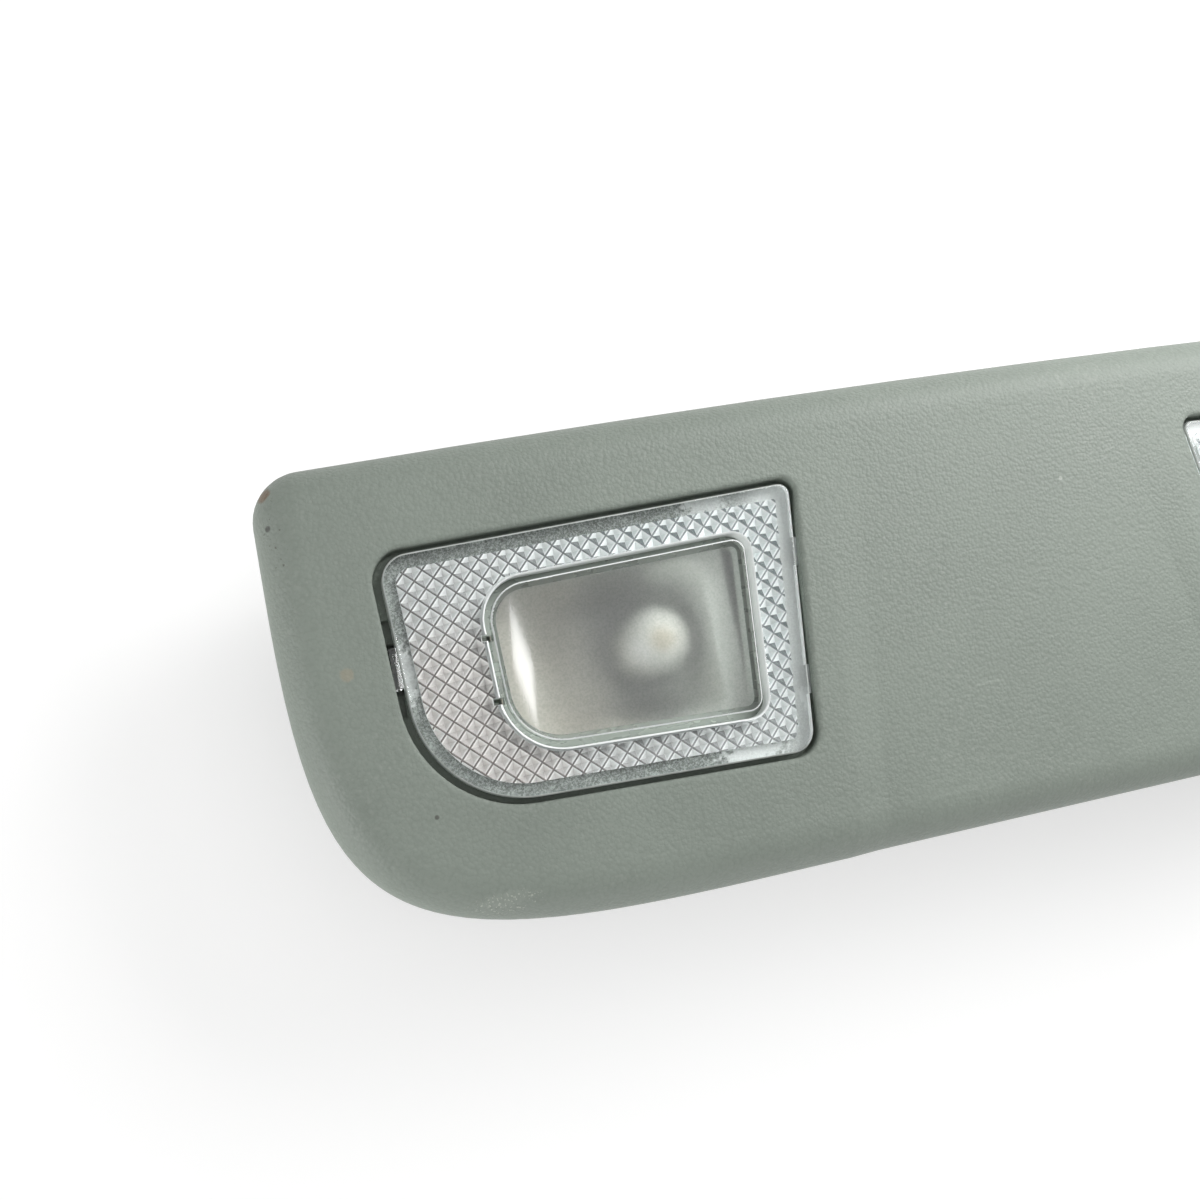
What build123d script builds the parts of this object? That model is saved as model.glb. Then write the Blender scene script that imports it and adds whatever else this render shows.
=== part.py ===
from build123d import *
import os
from math import asin, atan2, ceil, cos, degrees, hypot, radians, sin

# Front overhead reading lamp of a car: a moulded bezel with a push-to-light lamp at each end.
# Millimetres, lying on its back: +Z points out of the lit face, +X runs along the length,
# +Y points to the arched upper edge, and z = 0 is the rear mounting plane.
# The left lamp is modelled, and the right one is its mirror image.

# Bezel
bezel_length = 212.2
bezel_height = 67.0
bezel_depth = 11.0
face_height = 38.5  # mounting plane to the lit face
bezel_wall = 2.2
face_wall = 2.0
edge_round = 6.0  # broad rounding where the face turns into the skirt
top_arch = 1.7  # rise of the upper edge towards the middle
arch_parts = 8
upper_corner = 6.9
lower_corner_rise = 50.0  # how far the sweeping lower corner climbs the end
lower_corner_run = 58.8  # and how far it follows the lower edge
lower_corner_pull = 0.89  # fullness of that sweep

# Middle of the face, which slopes down to the lower edge between two soft creases
slope_start = 7.0  # from the upper edge of the bezel
step_bottom = 1.3  # depth at the lower edge
crease_width = 5.0
crease_top_gap = 5.05  # from the upper inner corner of the lamp opening
crease_bottom_gap = 2.65  # from the lower inner corner

# Lamp opening: lower outer, lower inner, upper inner and upper outer corner
lamp_margin = 13.45  # end of the bezel to the opening
lamp_y = 1.08  # the lamps sit this much above the middle of the bezel
lamp_width = 60.6
lamp_outer_height = 35.2
lamp_inner_height = 38.9
lamp_slant = 4.6  # lean of the inner side
lamp_outer_slant = 1.6  # lean of the outer side
lamp_radii = [16.0, 4.0, 2.2, 4.5]
opening_round = 0.5
frame_wall = 1.8
frame_depth = 5.3
ledge_depth = 3.1
ledge_width = 2.0

# Lens: a clear ring with a field of pyramids on its back
lens_recess = 0.7
lens_seat = 0.05  # play between the lens and its ledge
lens_gap = 0.7
lens_outer_gap = 1.2
lens_edge_round = 0.35
lens_plate = 1.3  # clear skin in front of the pyramids
prism_pitch = 1.8
prism_depth = 0.9
prism_angle = 45.0
prism_turn = 1.65  # the field follows the upper edge of the lens
prism_spread = 1.1  # size of the uncut field against the lamp's diagonal
prism_margin = 1.9
prism_rim = 0.5
lens_tab_width = 5.3
lens_tab_y = 2.4
lens_tab_thick = 1.0
lens_tab_top = 1.2
lens_tab_slot = 0.8
clip_recess = 13.0  # length of the lowered ledge beside the tab
clip_recess_depth = 1.2
lens_barb = 0.8
lens_barb_height = 1.3
lens_tongue_width = 4.0
lens_tongue_height = 1.0
lens_tongue_reach = 0.9
lens_tongue_spread = 18.0
snap_gap = 0.2

# Window: the frosted push button in the middle of the lens
window_shift = 2.7  # from the middle of the lamp towards the middle of the face
window_width = 38.9
window_outer_height = 23.1
window_inner_height = 25.8
window_slant = 2.4
window_outer_slant = 0.6
window_radii = [8.5, 3.0, 2.6, 6.0]
window_gap = 0.9
window_recess = 0.5
window_roll = 9.0  # length of the end that rolls down to the pivot
window_roll_drop = 1.0
window_plate = 2.0
window_skirt = 0.8
window_edge_round = 0.35
flange_thick = 1.4
flange_reach = 1.6
flange_gap = 0.3
tab_width = 7.6
tab_slot = 0.9
tab_clearance = 0.3
tab_recess = 0.9  # top of the tab below the front of the lens
tab_notch_width = 1.9
tab_notch_depth = 1.2
pivot_radius = 1.2
pivot_length = 12.0
pivot_setback = 2.7  # from the outer side of the window
pivot_drop = 4.1  # below the underside of the flange's top
pivot_clearance = 0.05
pivot_mouth = 0.75  # open share of the socket, which the pivot snaps through
ear_thick = 2.0
ear_wall = 1.0
ear_gap = 0.4
finger_width = 5.0
finger_reach = 3.6

# Push switch under the finger
plunger_radius = 1.9
plunger_clearance = 0.05
plunger_gap = 0.3
plunger_setback = 2.0  # from the tip of the finger
plunger_dome = 0.7
collar_radius = 2.6
collar_height = 1.0
switch_width = 7.6
switch_length = 10.0
switch_wall = 1.0
switch_cap = 3.0
switch_lean = 1.0  # the switch stands this much off its plunger, away from the bulb
plunger_stand = 3.2
spring_radius = 2.0
spring_wire = 0.25
spring_turns = 4

# Rear housing
tray_gap = 2.3
tray_wall = 2.0
tray_floor = 2.0
tray_lap = 2.0  # how far it reaches into the bezel
tray_lift = 16.0  # mounting plane to its rear face
rib_thick = 1.6
rib_height = 3.0
rib_y = 12.0
tub_wall = 1.8
tub_floor = 2.0
tub_lift = 8.0
swing_room = 2.9  # from the reflector to the window, which swings into it
tub_height = 29.6  # across, along Y
tub_corner = 4.0
pad_width = 14.0
pad_height = 32.0
pad_wall = 2.0
mount_margin = 19.6  # end of the bezel to the mounting screw
mount_y = 9.0
mount_hole_radius = 2.7
mount_tube_wall = 2.8

# Reflector, bulb and bulb holder
reflector_wall = 1.2
reflector_rim = 1.2
reflector_floor = 14.0
reflector_corner = 5.0
reflector_taper_x = 10.5  # all of it on the outer side
reflector_taper_y = 8.4
reflector_lap = 1.0
strip_room = 1.2
bulb_shift = 9.15  # from the middle of the lamp towards the middle of the face
bulb_y = 0.8
bulb_radius = 5.1
bulb_drop = 0.8  # tip of the bulb below the rim of the reflector
bulb_neck_radius = 4.0
bulb_neck_height = 4.0
wedge_width = 9.0
wedge_thick = 3.2
wedge_depth = 7.0
bulb_hole_radius = 6.2
holder_radius = 7.5
holder_clearance = 0.2
holder_top = 12.5
holder_bottom = 1.5
holder_flange_radius = 9.6
holder_flange_thick = 2.0
holder_lug_width = 4.0
holder_lug_height = 1.5
holder_lug_turn = 45.0
grip_width = 15.0
grip_thick = 3.0

# Contact strips, connector and screws
strip_thick = 0.6
strip_width = 4.0
strip_clearance = 0.1
earth_y = -9.0
supply_y = -4.0
pin_spacing = 6.4
pin_width = 2.2
pin_thick = 0.8
pin_level = 9.0
pin_tip = 7.5
pin_clearance = 0.05
connector_width = 18.0
connector_back = -11.5
connector_front = 14.0
connector_bottom = 3.0
connector_wall = 2.0
connector_cavity = 13.0
screw_x = 17.5
screw_y = 20.0
screw_radius = 1.45
screw_length = 12.0
screw_head_radius = 3.5
screw_head_height = 2.2
screw_clearance = 0.05
boss_radius = 3.4
boss_hole_extra = 2.0

# Levels worked out from those sizes
rim_z = face_height - bezel_depth
ceiling_z = face_height - step_bottom - face_wall
ledge_z = face_height - ledge_depth
lens_back = ledge_z + lens_seat
frame_z = face_height - frame_depth
lens_front = face_height - lens_recess
prism_root = lens_front - lens_plate
flange_top = ledge_z - flange_gap
flange_bottom = flange_top - flange_thick
window_top = face_height - window_recess
pivot_z = flange_top - pivot_drop
tray_top = rim_z + tray_lap
floor_top = tray_lift + tray_floor
rim_top = flange_bottom - swing_room
tub_rise = rim_top - reflector_rim
bulb_tip = rim_top - bulb_drop

# Places along the left lamp
lamp_offset = bezel_length / 2 - lamp_margin - lamp_width / 2
bulb_offset = lamp_offset - bulb_shift
lamp_left = -lamp_offset - lamp_width / 2
tab_side = lamp_left + lamp_outer_slant * (0.5 - lens_tab_y / lamp_outer_height)
window_x = -lamp_offset + window_shift
window_left = window_x - window_width / 2 + window_outer_slant / 2 + window_gap
window_right = window_x + window_width / 2 - window_slant / 2 - window_gap
pivot_x = window_left - pivot_setback
finger_tip = window_right + flange_reach + finger_reach
plunger_x = finger_tip - plunger_setback
plunger_top = flange_bottom - plunger_gap
switch_x = plunger_x + switch_lean
switch_top = plunger_top - plunger_stand
tub_right = switch_x - switch_width / 2 - strip_clearance
tub_left = pivot_x + pivot_radius + ear_wall
tub_span = (tub_left, tub_right)
mount_x = mount_margin - bezel_length / 2
ear_inner = tab_width / 2 + ear_gap
lamp_place = Pos(0, lamp_y, 0)


def corners(center_x, width, outer_height, inner_height, slant, outer_slant):
    # A lamp shape, counter-clockwise from its lower outer corner.
    left = center_x - width / 2
    right = center_x + width / 2
    return [
        (left + outer_slant, -outer_height / 2),
        (right - slant, -inner_height / 2),
        (right, inner_height / 2),
        (left, outer_height / 2),
    ]


def shrink(points, inset):
    # The same polygon with every side moved inwards.
    moved = []
    for i, point in enumerate(points):
        here = Vector(point)
        into = (here - Vector(points[i - 1])).normalized()
        out = (Vector(points[(i + 1) % len(points)]) - here).normalized()
        turn = into.X * out.Y - into.Y * out.X
        moved.append(here + (out - into) * (inset / turn))
    return moved


def rounded(points, radii, inset=0.0):
    sizes = [max(radius - inset, 0.3) for radius in radii]
    return make_face(FilletPolyline(*shrink(points, inset), radius=sizes, close=True))


def lamp_face(inset=0.0, outer_inset=0.0):
    width = lamp_width - outer_inset
    middle = -lamp_offset + outer_inset / 2
    heights = (lamp_outer_height, lamp_inner_height)
    shape = corners(middle, width, *heights, lamp_slant, lamp_outer_slant)
    return rounded(shape, lamp_radii, inset)


def lens_face(inset=0.0):
    return lamp_face(lens_gap + inset, lens_outer_gap - lens_gap)


def window_face(inset=0.0):
    heights = (window_outer_height, window_inner_height)
    shape = corners(window_x, window_width, *heights, window_slant, window_outer_slant)
    return rounded(shape, window_radii, inset)


def block(x, y, z):
    # A box from three (low, high) pairs.
    size = Box(x[1] - x[0], y[1] - y[0], z[1] - z[0])
    return Pos((x[0] + x[1]) / 2, (y[0] + y[1]) / 2, (z[0] + z[1]) / 2) * size


def rod(radius, x, y, z):
    # An upright cylinder from z[0] to z[1].
    return Pos(x, y, (z[0] + z[1]) / 2) * Cylinder(radius, z[1] - z[0])


def prism(face, low, high):
    return extrude(Pos(0, 0, low) * face, high - low)


def either_side(piece):
    return piece + mirror(piece, about=Plane.YZ)


def arched_edge(end, shoulder, edge):
    # The upper edge from left to right, as short arcs of one circle that mesh evenly.
    rise = edge - shoulder
    radius = (end**2 + rise**2) / (2 * rise)
    half_angle = degrees(asin(end / radius))
    step = 2 * half_angle / arch_parts
    center = (0, edge - radius)
    return [
        CenterArc(center, radius, 90 + half_angle - i * step, -step) for i in range(arch_parts)
    ]


def bezel_outline(inset=0.0):
    # The face's outline, or the same line moved inwards by inset.
    end = bezel_length / 2 - inset
    edge = bezel_height / 2 - inset
    side_y = lower_corner_rise - bezel_height / 2
    run_x = bezel_length / 2 - lower_corner_run
    handle_y = side_y - lower_corner_pull * (side_y + edge)
    handle_x = run_x + lower_corner_pull * (end - run_x)
    shoulder = edge - top_arch
    lines = [
        Line((-end, side_y), (-end, shoulder)),
        *arched_edge(end, shoulder, edge),
        Line((end, shoulder), (end, side_y)),
        Bezier((end, side_y), (end, handle_y), (handle_x, -edge), (run_x, -edge)),
        Line((run_x, -edge), (-run_x, -edge)),
        Bezier((-run_x, -edge), (-handle_x, -edge), (-end, handle_y), (-end, side_y)),
    ]
    face = make_face(lines)
    upper = [face.vertices().sort_by_distance((x, shoulder, 0))[0] for x in (-end, end)]
    return fillet(upper, upper_corner - inset)


def middle_column(slope_y, inset):
    # What stands over the sloping middle of the face, and with inset over that without its creases.
    inner_side = lamp_offset - lamp_width / 2
    top = inner_side - crease_top_gap - inset
    bottom = inner_side + lamp_slant - crease_bottom_gap - inset
    lean = (bottom - top) / (slope_y + bezel_height / 2)
    bottom += lean * bezel_depth
    lower = -bezel_height / 2 - bezel_depth
    plan = Polyline((-top, slope_y), (-bottom, lower), (bottom, lower), (top, slope_y), close=True)
    return prism(make_face(plan), rim_z - 1, face_height + 1)


def sloping_block(slope_y):
    # The straight length of the bezel with its face sloping down to the lower edge.
    slope = degrees(atan2(step_bottom, slope_y + bezel_height / 2))
    straight = bezel_length / 2 - lower_corner_run
    across = (-bezel_height / 2, bezel_height / 2)
    low = block((-straight, straight), across, (rim_z, face_height))
    cutting = Plane((0, slope_y, face_height)).rotated((slope, 0, 0))
    low = split(low, bisect_by=cutting, keep=Keep.BOTTOM)
    lower_edges = low.edges().filter_by(Axis.X).group_by(Axis.Y)[0]
    return fillet(lower_edges.sort_by(Axis.Z)[-1], edge_round)


def bezel_shell():
    # The lamp areas at full height, the middle sloping, and a soft crease lofted between them.
    full = prism(bezel_outline(), rim_z, face_height)
    full = fillet(full.faces().sort_by(Axis.Z)[-1].edges(), edge_round)
    slope_y = bezel_height / 2 - slope_start
    column = middle_column(slope_y, 0)
    middle = sloping_block(slope_y) & middle_column(slope_y, crease_width)
    high_side = (full & column).faces().sort_by(Axis.X)[-1]
    low_side = middle.faces().sort_by(Axis.X)[-1]
    crease = loft([low_side, high_side], ruled=True)
    hollow = prism(bezel_outline(bezel_wall), rim_z - 1, ceiling_z)
    hollow = fillet(hollow.faces().sort_by(Axis.Z)[-1].edges(), edge_round - bezel_wall)
    return (full - column) + middle + either_side(crease) - hollow


def tongue_x(y):
    # Inner side of the lamp opening at a height y.
    return -lamp_offset + lamp_width / 2 - lamp_slant * (0.5 - y / lamp_inner_height)


def tongues(low, grow):
    # Two tongues on the inner side of the lens, or with grow the notches that they enter.
    made = []
    for y in (-lens_tongue_spread / 2, lens_tongue_spread / 2):
        tip = tongue_x(y) + lens_tongue_reach
        half = lens_tongue_width / 2
        made.append(
            block(
                (tip - lens_tongue_reach - lens_gap - 1, tip + grow),
                (y - half - grow, y + half + grow),
                (low, ledge_z + lens_tongue_height + grow),
            )
        )
    return made


def bezel_pocket():
    # What the lens goes into: opening, ledge with a lowered length, snap slot and tongue notches.
    half_slot = lens_tab_width / 2 + lens_tab_slot
    through = prism(lamp_face(ledge_width), frame_z - 1, face_height)
    slot = block(
        (tab_side, tab_side + lens_outer_gap + lens_tab_slot),
        (lens_tab_y - half_slot, lens_tab_y + half_slot),
        (frame_z - 1, face_height - lens_recess),
    )
    lowered = block(
        (tab_side - lens_tab_slot, tab_side + lens_outer_gap),
        (lens_tab_y - clip_recess / 2, lens_tab_y + clip_recess / 2),
        (ledge_z - clip_recess_depth, ledge_z),
    )
    pocket = prism(lamp_face(), ledge_z, face_height + 1) + through + slot + lowered
    for notch in tongues(ledge_z, snap_gap):
        pocket += notch
    return pocket


def bezel():
    shell = bezel_shell()
    frame = prism(lamp_face(-frame_wall), frame_z, ceiling_z + face_wall / 2)
    shell += either_side(lamp_place * frame)
    for x in (-screw_x, screw_x):
        for y in (-screw_y, screw_y):
            pilot = (floor_top - 1, tray_lift + screw_length + boss_hole_extra)
            shell += rod(boss_radius, x, y, (floor_top, ceiling_z + face_wall / 2))
            shell -= rod(screw_radius + screw_clearance, x, y, pilot)
    shell -= either_side(lamp_place * bezel_pocket())
    lamps = shell.faces().filter_by(Axis.Z).group_by(Axis.Z)[-1]
    rims = [edge for face in lamps for wire in face.inner_wires() for edge in wire.edges()]
    return fillet(rims, opening_round)


def ridges(angle, span):
    # A slab whose underside is a row of V ridges running across the given direction.
    count = ceil(span / prism_pitch / 2)
    tip = prism_root - prism_depth
    outline = [(count * prism_pitch, lens_front), (-count * prism_pitch, lens_front)]
    for i in range(-count, count):
        outline.append((i * prism_pitch, prism_root))
        outline.append(((i + 0.5) * prism_pitch, tip))
    outline.append((count * prism_pitch, prism_root))
    run = Vector(cos(radians(angle)), sin(radians(angle)), 0)
    across = Plane((-lamp_offset, 0, 0), x_dir=run, z_dir=run.cross(Vector(0, 0, 1)))
    return extrude(across * make_face(Polyline(*outline, close=True)), span / 2, both=True)


def pyramid_field():
    span = prism_spread * hypot(lamp_width, lamp_inner_height)
    turn = prism_angle + prism_turn
    field = ridges(turn, span) & ridges(turn + 90, span)
    zone = lens_face(prism_margin) - window_face(-prism_rim)
    return field & prism(zone, ledge_z - 1, prism_root + lens_plate / 3), zone


def left_lens():
    ring = prism(lens_face() - window_face(), lens_back, lens_front)
    front = ring.faces().sort_by(Axis.Z)[-1].edges()
    ring = fillet(front, lens_edge_round)
    field, zone = pyramid_field()
    ring = ring - prism(zone, ledge_z - 1, prism_root + lens_plate / 3) + field
    leg_x = tab_side + snap_gap
    leg_y = (lens_tab_y - lens_tab_width / 2, lens_tab_y + lens_tab_width / 2)
    barb_top = frame_z - snap_gap
    leg = block(
        (leg_x, leg_x + lens_tab_thick),
        leg_y,
        (barb_top - lens_barb_height, lens_front - lens_tab_top),
    )
    root = block(
        (leg_x, tab_side + lens_outer_gap + lens_gap),
        leg_y,
        (lens_back, lens_front - lens_tab_top),
    )
    hook = Polyline(
        (leg_x, barb_top),
        (leg_x - lens_barb, barb_top),
        (leg_x, barb_top - lens_barb_height),
        close=True,
    )
    barb = extrude(Plane.XZ * make_face(hook), -lens_tab_width)
    ring = ring + leg + root + Pos(0, leg_y[0], 0) * barb
    for tongue in tongues(lens_back, 0):
        ring += tongue
    half = tab_width / 2
    hole_left = window_left - window_gap
    for side in (-1, 1):
        low, high = sorted((side * half, side * (half + tab_slot)))
        ring -= block((hole_left - tab_slot, hole_left + 1), (low, high), (ledge_z - 1, face_height))
    return ring


def left_window():
    far = window_right + window_slant + 1
    near = window_left - window_outer_slant
    roll_x = window_left + window_roll
    side = [
        Line((roll_x, window_top), (far, window_top)),
        Line((far, window_top), (far, flange_bottom)),
        Line((far, flange_bottom), (near, flange_bottom)),
        Line((near, flange_bottom), (near, window_top - window_roll_drop)),
        TangentArc((roll_x, window_top), (near, window_top - window_roll_drop), tangent=(-1, 0)),
    ]
    profile = extrude(Plane.XZ * make_face(side), bezel_height / 2, both=True)
    button = prism(window_face(window_gap), flange_bottom, face_height) & profile
    low = window_top - window_roll_drop - window_edge_round
    rims = button.edges().filter_by(lambda edge: edge.center().Z > low)
    button = fillet(rims.filter_by(Axis.Y, reverse=True), window_edge_round)
    button += prism(window_face(window_gap - flange_reach), flange_bottom, flange_top)
    hollow = window_face(window_gap + window_skirt)
    button -= prism(hollow, flange_bottom - 1, window_top - window_plate)
    tab_y = (-tab_width / 2, tab_width / 2)
    hole_left = window_left - window_gap
    for y in (-tab_width / 2 - tab_slot, tab_width / 2):
        gap_x = (window_left - flange_reach - 1, window_left)
        button -= block(gap_x, (y, y + tab_slot), (flange_bottom - 1, flange_top + 1))
    tab_top = lens_front - tab_recess
    button += block((hole_left + tab_clearance, window_left), tab_y, (flange_bottom, tab_top))
    button += block((pivot_x - pivot_radius, window_left), tab_y, (flange_bottom, flange_top))
    notch_y = (-tab_notch_width / 2, tab_notch_width / 2)
    button -= block((hole_left, window_left), notch_y, (tab_top - tab_notch_depth, tab_top + 1))
    lug = (pivot_x - pivot_radius, pivot_x + pivot_radius)
    button += block(lug, tab_y, (pivot_z, flange_top))
    pin = Cylinder(pivot_radius, pivot_length, rotation=(90, 0, 0))
    button += Pos(pivot_x, 0, pivot_z) * pin
    finger_y = (-finger_width / 2, finger_width / 2)
    finger_x = (window_right - window_skirt / 2, finger_tip)
    return button + block(finger_x, finger_y, (flange_bottom, flange_top))


def left_switch_plunger():
    shoulder = plunger_top - plunger_dome
    collar_top = switch_top - switch_cap - snap_gap
    stem = rod(plunger_radius, plunger_x, 0, (collar_top - collar_height, shoulder))
    dome_radius = (plunger_radius**2 + plunger_dome**2) / (2 * plunger_dome)
    half = [
        Line((0, shoulder), (plunger_radius, shoulder)),
        RadiusArc((plunger_radius, shoulder), (0, plunger_top), -dome_radius),
        Line((0, plunger_top), (0, shoulder)),
    ]
    cap = Pos(plunger_x, 0, 0) * revolve(Plane.XZ * make_face(half), Axis.Z)
    return stem + cap + rod(collar_radius, plunger_x, 0, (collar_top - collar_height, collar_top))


def left_switch_body():
    half_x = switch_width / 2
    half_y = switch_length / 2
    body = block((switch_x - half_x, switch_x + half_x), (-half_y, half_y), (floor_top, switch_top))
    body = chamfer(body.edges().filter_by(Axis.Z), switch_wall / 2)
    guide = (switch_top - switch_cap - 1, switch_top + 1)
    body -= rod(plunger_radius + plunger_clearance, plunger_x, 0, guide)
    well = (floor_top + switch_wall, switch_top - switch_cap)
    return body - rod(collar_radius + snap_gap, plunger_x, 0, well)


def left_switch_spring():
    low = floor_top + switch_wall + spring_wire
    high = switch_top - switch_cap - snap_gap - collar_height - spring_wire
    path = Helix((high - low) / spring_turns, high - low, spring_radius, center=(plunger_x, 0, low))
    wire = Plane(path @ 0, z_dir=path % 0) * Circle(spring_wire)
    return sweep(wire, path)


def tub(wall, low, high):
    # The well that holds a reflector, as a solid block with its walls moved in by wall.
    width = tub_span[1] - tub_span[0] - 2 * wall
    corner = max(tub_corner - wall, 0.5)
    shape = RectangleRounded(width, tub_height - 2 * wall, corner)
    return prism(Pos((tub_span[0] + tub_span[1]) / 2, 0) * shape, low, high)


def mounting_pad():
    half = pad_width / 2
    tall = pad_height / 2
    pad = block((mount_x - half, mount_x + half), (-tall, tall), (0, floor_top))
    pad -= block(
        (mount_x - half + pad_wall, mount_x + half - pad_wall),
        (-tall + pad_wall, tall - pad_wall),
        (-1, tray_lift),
    )
    pad += block((mount_x - pad_wall / 2, mount_x + pad_wall / 2), (-tall, tall), (0, tray_lift))
    return pad + rod(mount_hole_radius + mount_tube_wall, mount_x, mount_y, (0, floor_top))


def pivot_ears():
    # Two ears with open-topped sockets that the window's pivot snaps into.
    reach = pivot_radius + ear_wall
    mouth = pivot_mouth * pivot_radius
    ears = []
    for side in (-1, 1):
        low, high = sorted((side * ear_inner, side * (ear_inner + ear_thick)))
        top = pivot_z + reach - ear_wall / 2
        ear = block((pivot_x - reach, pivot_x + reach), (low, high), (tray_lift, top))
        ear -= block((pivot_x - mouth, pivot_x + mouth), (low - 1, high + 1), (pivot_z, top + 1))
        bore = Cylinder(pivot_radius + pivot_clearance, pivot_length * 2, rotation=(90, 0, 0))
        ears.append(ear - Pos(pivot_x, 0, pivot_z) * bore)
    return ears


def strip_slots():
    # Slots in the wall of the tub for the lamp strip and the earth strip.
    wall_x = (tub_right - tub_wall - 1, tub_right + 1)
    half = strip_width / 2 + strip_clearance
    level = (floor_top, floor_top + strip_thick + strip_clearance)
    return [block(wall_x, (y - half, y + half), level) for y in (0, earth_y)]


def lamp_side():
    # The part of the housing that carries one lamp, with two ribs behind the floor.
    side = tub(0, tub_lift, tub_rise)
    for ear in pivot_ears():
        side += ear
    rib_x = (tub_right - tub_wall / 2, -connector_width / 2 - rib_thick)
    for y in (-rib_y, rib_y):
        rib = (y - rib_thick / 2, y + rib_thick / 2)
        side += block(rib_x, rib, (tray_lift - rib_height, floor_top))
    return side


def lamp_cuts():
    hole = rod(holder_radius + holder_clearance, -bulb_offset, bulb_y, (tub_lift - 1, tub_rise))
    cuts = tub(tub_wall, tub_lift + tub_floor, tub_rise + 1) + hole
    for slot in strip_slots():
        cuts += slot
    return cuts


def pin_tails(grow):
    # The upright tails of the connector pins, or with grow the slots that they pass through.
    half_x = pin_width / 2 + grow
    half_y = pin_thick / 2 + grow
    tails = []
    for x, y in ((-pin_spacing / 2, supply_y), (pin_spacing / 2, earth_y)):
        level = (pin_level - pin_thick / 2 - grow, floor_top + grow)
        tails.append(block((x - half_x, x + half_x), (y - half_y, y + half_y), level))
    return tails


def lamp_base():
    inset = bezel_wall + tray_gap
    tray = prism(bezel_outline(inset), tray_lift, tray_top)
    tray -= prism(bezel_outline(inset + tray_wall), floor_top, tray_top + 1)
    tray += either_side(lamp_place * lamp_side() + mounting_pad())
    mount_hole = rod(mount_hole_radius, mount_x, mount_y, (-1, floor_top + 1))
    tray -= either_side(lamp_place * lamp_cuts() + mount_hole)
    for x in (-screw_x, screw_x):
        for y in (-screw_y, screw_y):
            tray -= rod(screw_radius + snap_gap, x, y, (tray_lift - 1, floor_top + 1))
    for slot in pin_tails(pin_clearance):
        tray -= lamp_place * slot
    return tray


def reflector_bowl(wall, low, high):
    # The tapered bowl, as a solid with its walls moved in by wall.
    left = tub_span[0] + tub_wall + reflector_wall / 4
    right = tub_span[1] - tub_wall - strip_room
    tall = tub_height - 2 * (tub_wall + reflector_wall / 4)
    corner = reflector_corner - wall
    mouth = RectangleRounded(right - left - 2 * wall, tall - 2 * wall, corner)
    foot = RectangleRounded(
        right - left - 2 * wall - reflector_taper_x,
        tall - 2 * wall - reflector_taper_y,
        corner,
    )
    middle = (left + right) / 2
    lower = Pos(middle + reflector_taper_x / 2, 0, low) * foot
    return loft([lower, Pos(middle, 0, high) * mouth])


def left_reflector():
    rim = tub(tub_wall - reflector_lap, tub_rise, rim_top)
    bowl = rim + reflector_bowl(0, reflector_floor, tub_rise)
    bowl -= reflector_bowl(reflector_wall, reflector_floor + reflector_wall, rim_top)
    hole = (reflector_floor - 1, reflector_floor + 2 * reflector_wall)
    return bowl - rod(bulb_hole_radius, -bulb_offset, bulb_y, hole)


def left_bulb():
    # Capless bulb: a domed glass tube that narrows to a flat pressed foot.
    shoulder = bulb_tip - bulb_radius
    neck = holder_top + bulb_neck_height
    half = [
        Line((0, holder_top), (bulb_neck_radius, holder_top)),
        Line((bulb_neck_radius, holder_top), (bulb_radius, neck)),
        Line((bulb_radius, neck), (bulb_radius, shoulder)),
        RadiusArc((bulb_radius, shoulder), (0, bulb_tip), -bulb_radius),
        Line((0, bulb_tip), (0, holder_top)),
    ]
    glass = revolve(Plane.XZ * make_face(half), Axis.Z)
    foot = block(
        (-wedge_width / 2, wedge_width / 2),
        (-wedge_thick / 2, wedge_thick / 2),
        (holder_top - wedge_depth, holder_top),
    )
    return Pos(-bulb_offset, bulb_y, 0) * (glass + foot)


def left_bulb_holder():
    flange_z = (tub_lift - holder_flange_thick, tub_lift)
    body = rod(holder_radius, 0, 0, (flange_z[0], holder_top))
    body += rod(holder_flange_radius, 0, 0, flange_z)
    body += block(
        (-grip_width / 2, grip_width / 2),
        (-grip_thick / 2, grip_thick / 2),
        (holder_bottom, flange_z[0]),
    )
    lug_low = tub_lift + tub_floor + snap_gap
    lug = block(
        (-holder_flange_radius, holder_flange_radius),
        (-holder_lug_width / 2, holder_lug_width / 2),
        (lug_low, lug_low + holder_lug_height),
    )
    body += Rot(0, 0, holder_lug_turn) * lug
    body -= block(
        (-wedge_width / 2 - strip_clearance, wedge_width / 2 + strip_clearance),
        (-wedge_thick / 2 - strip_clearance, wedge_thick / 2 + strip_clearance),
        (holder_top - wedge_depth, holder_top + 1),
    )
    return Pos(-bulb_offset, bulb_y, 0) * body


def bent_strip(points, y):
    # A flat strip bent along points in the XZ plane, which are the middle of its thickness.
    half = strip_thick / 2
    wide = (y - strip_width / 2, y + strip_width / 2)
    runs = []
    for start, end in zip(points, points[1:]):
        x = (min(start[0], end[0]) - half, max(start[0], end[0]) + half)
        z = (min(start[1], end[1]) - half, max(start[1], end[1]) + half)
        runs.append(block(x, wide, z))
    strip = runs[0]
    for run in runs[1:]:
        strip += run
    return strip


def inner_leg():
    # Where a strip turns down inside the tub, and the two levels that it joins.
    leg_x = tub_right - tub_wall - strip_clearance - strip_thick / 2
    upper = floor_top + strip_thick / 2
    lower = tub_lift + tub_floor + strip_thick / 2
    return leg_x, upper, lower


def left_lamp_strip():
    leg_x, upper, lower = inner_leg()
    start = switch_x - switch_width / 2 - strip_thick / 2
    return bent_strip([(start, upper), (leg_x, upper), (leg_x, lower)], 0)


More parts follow.
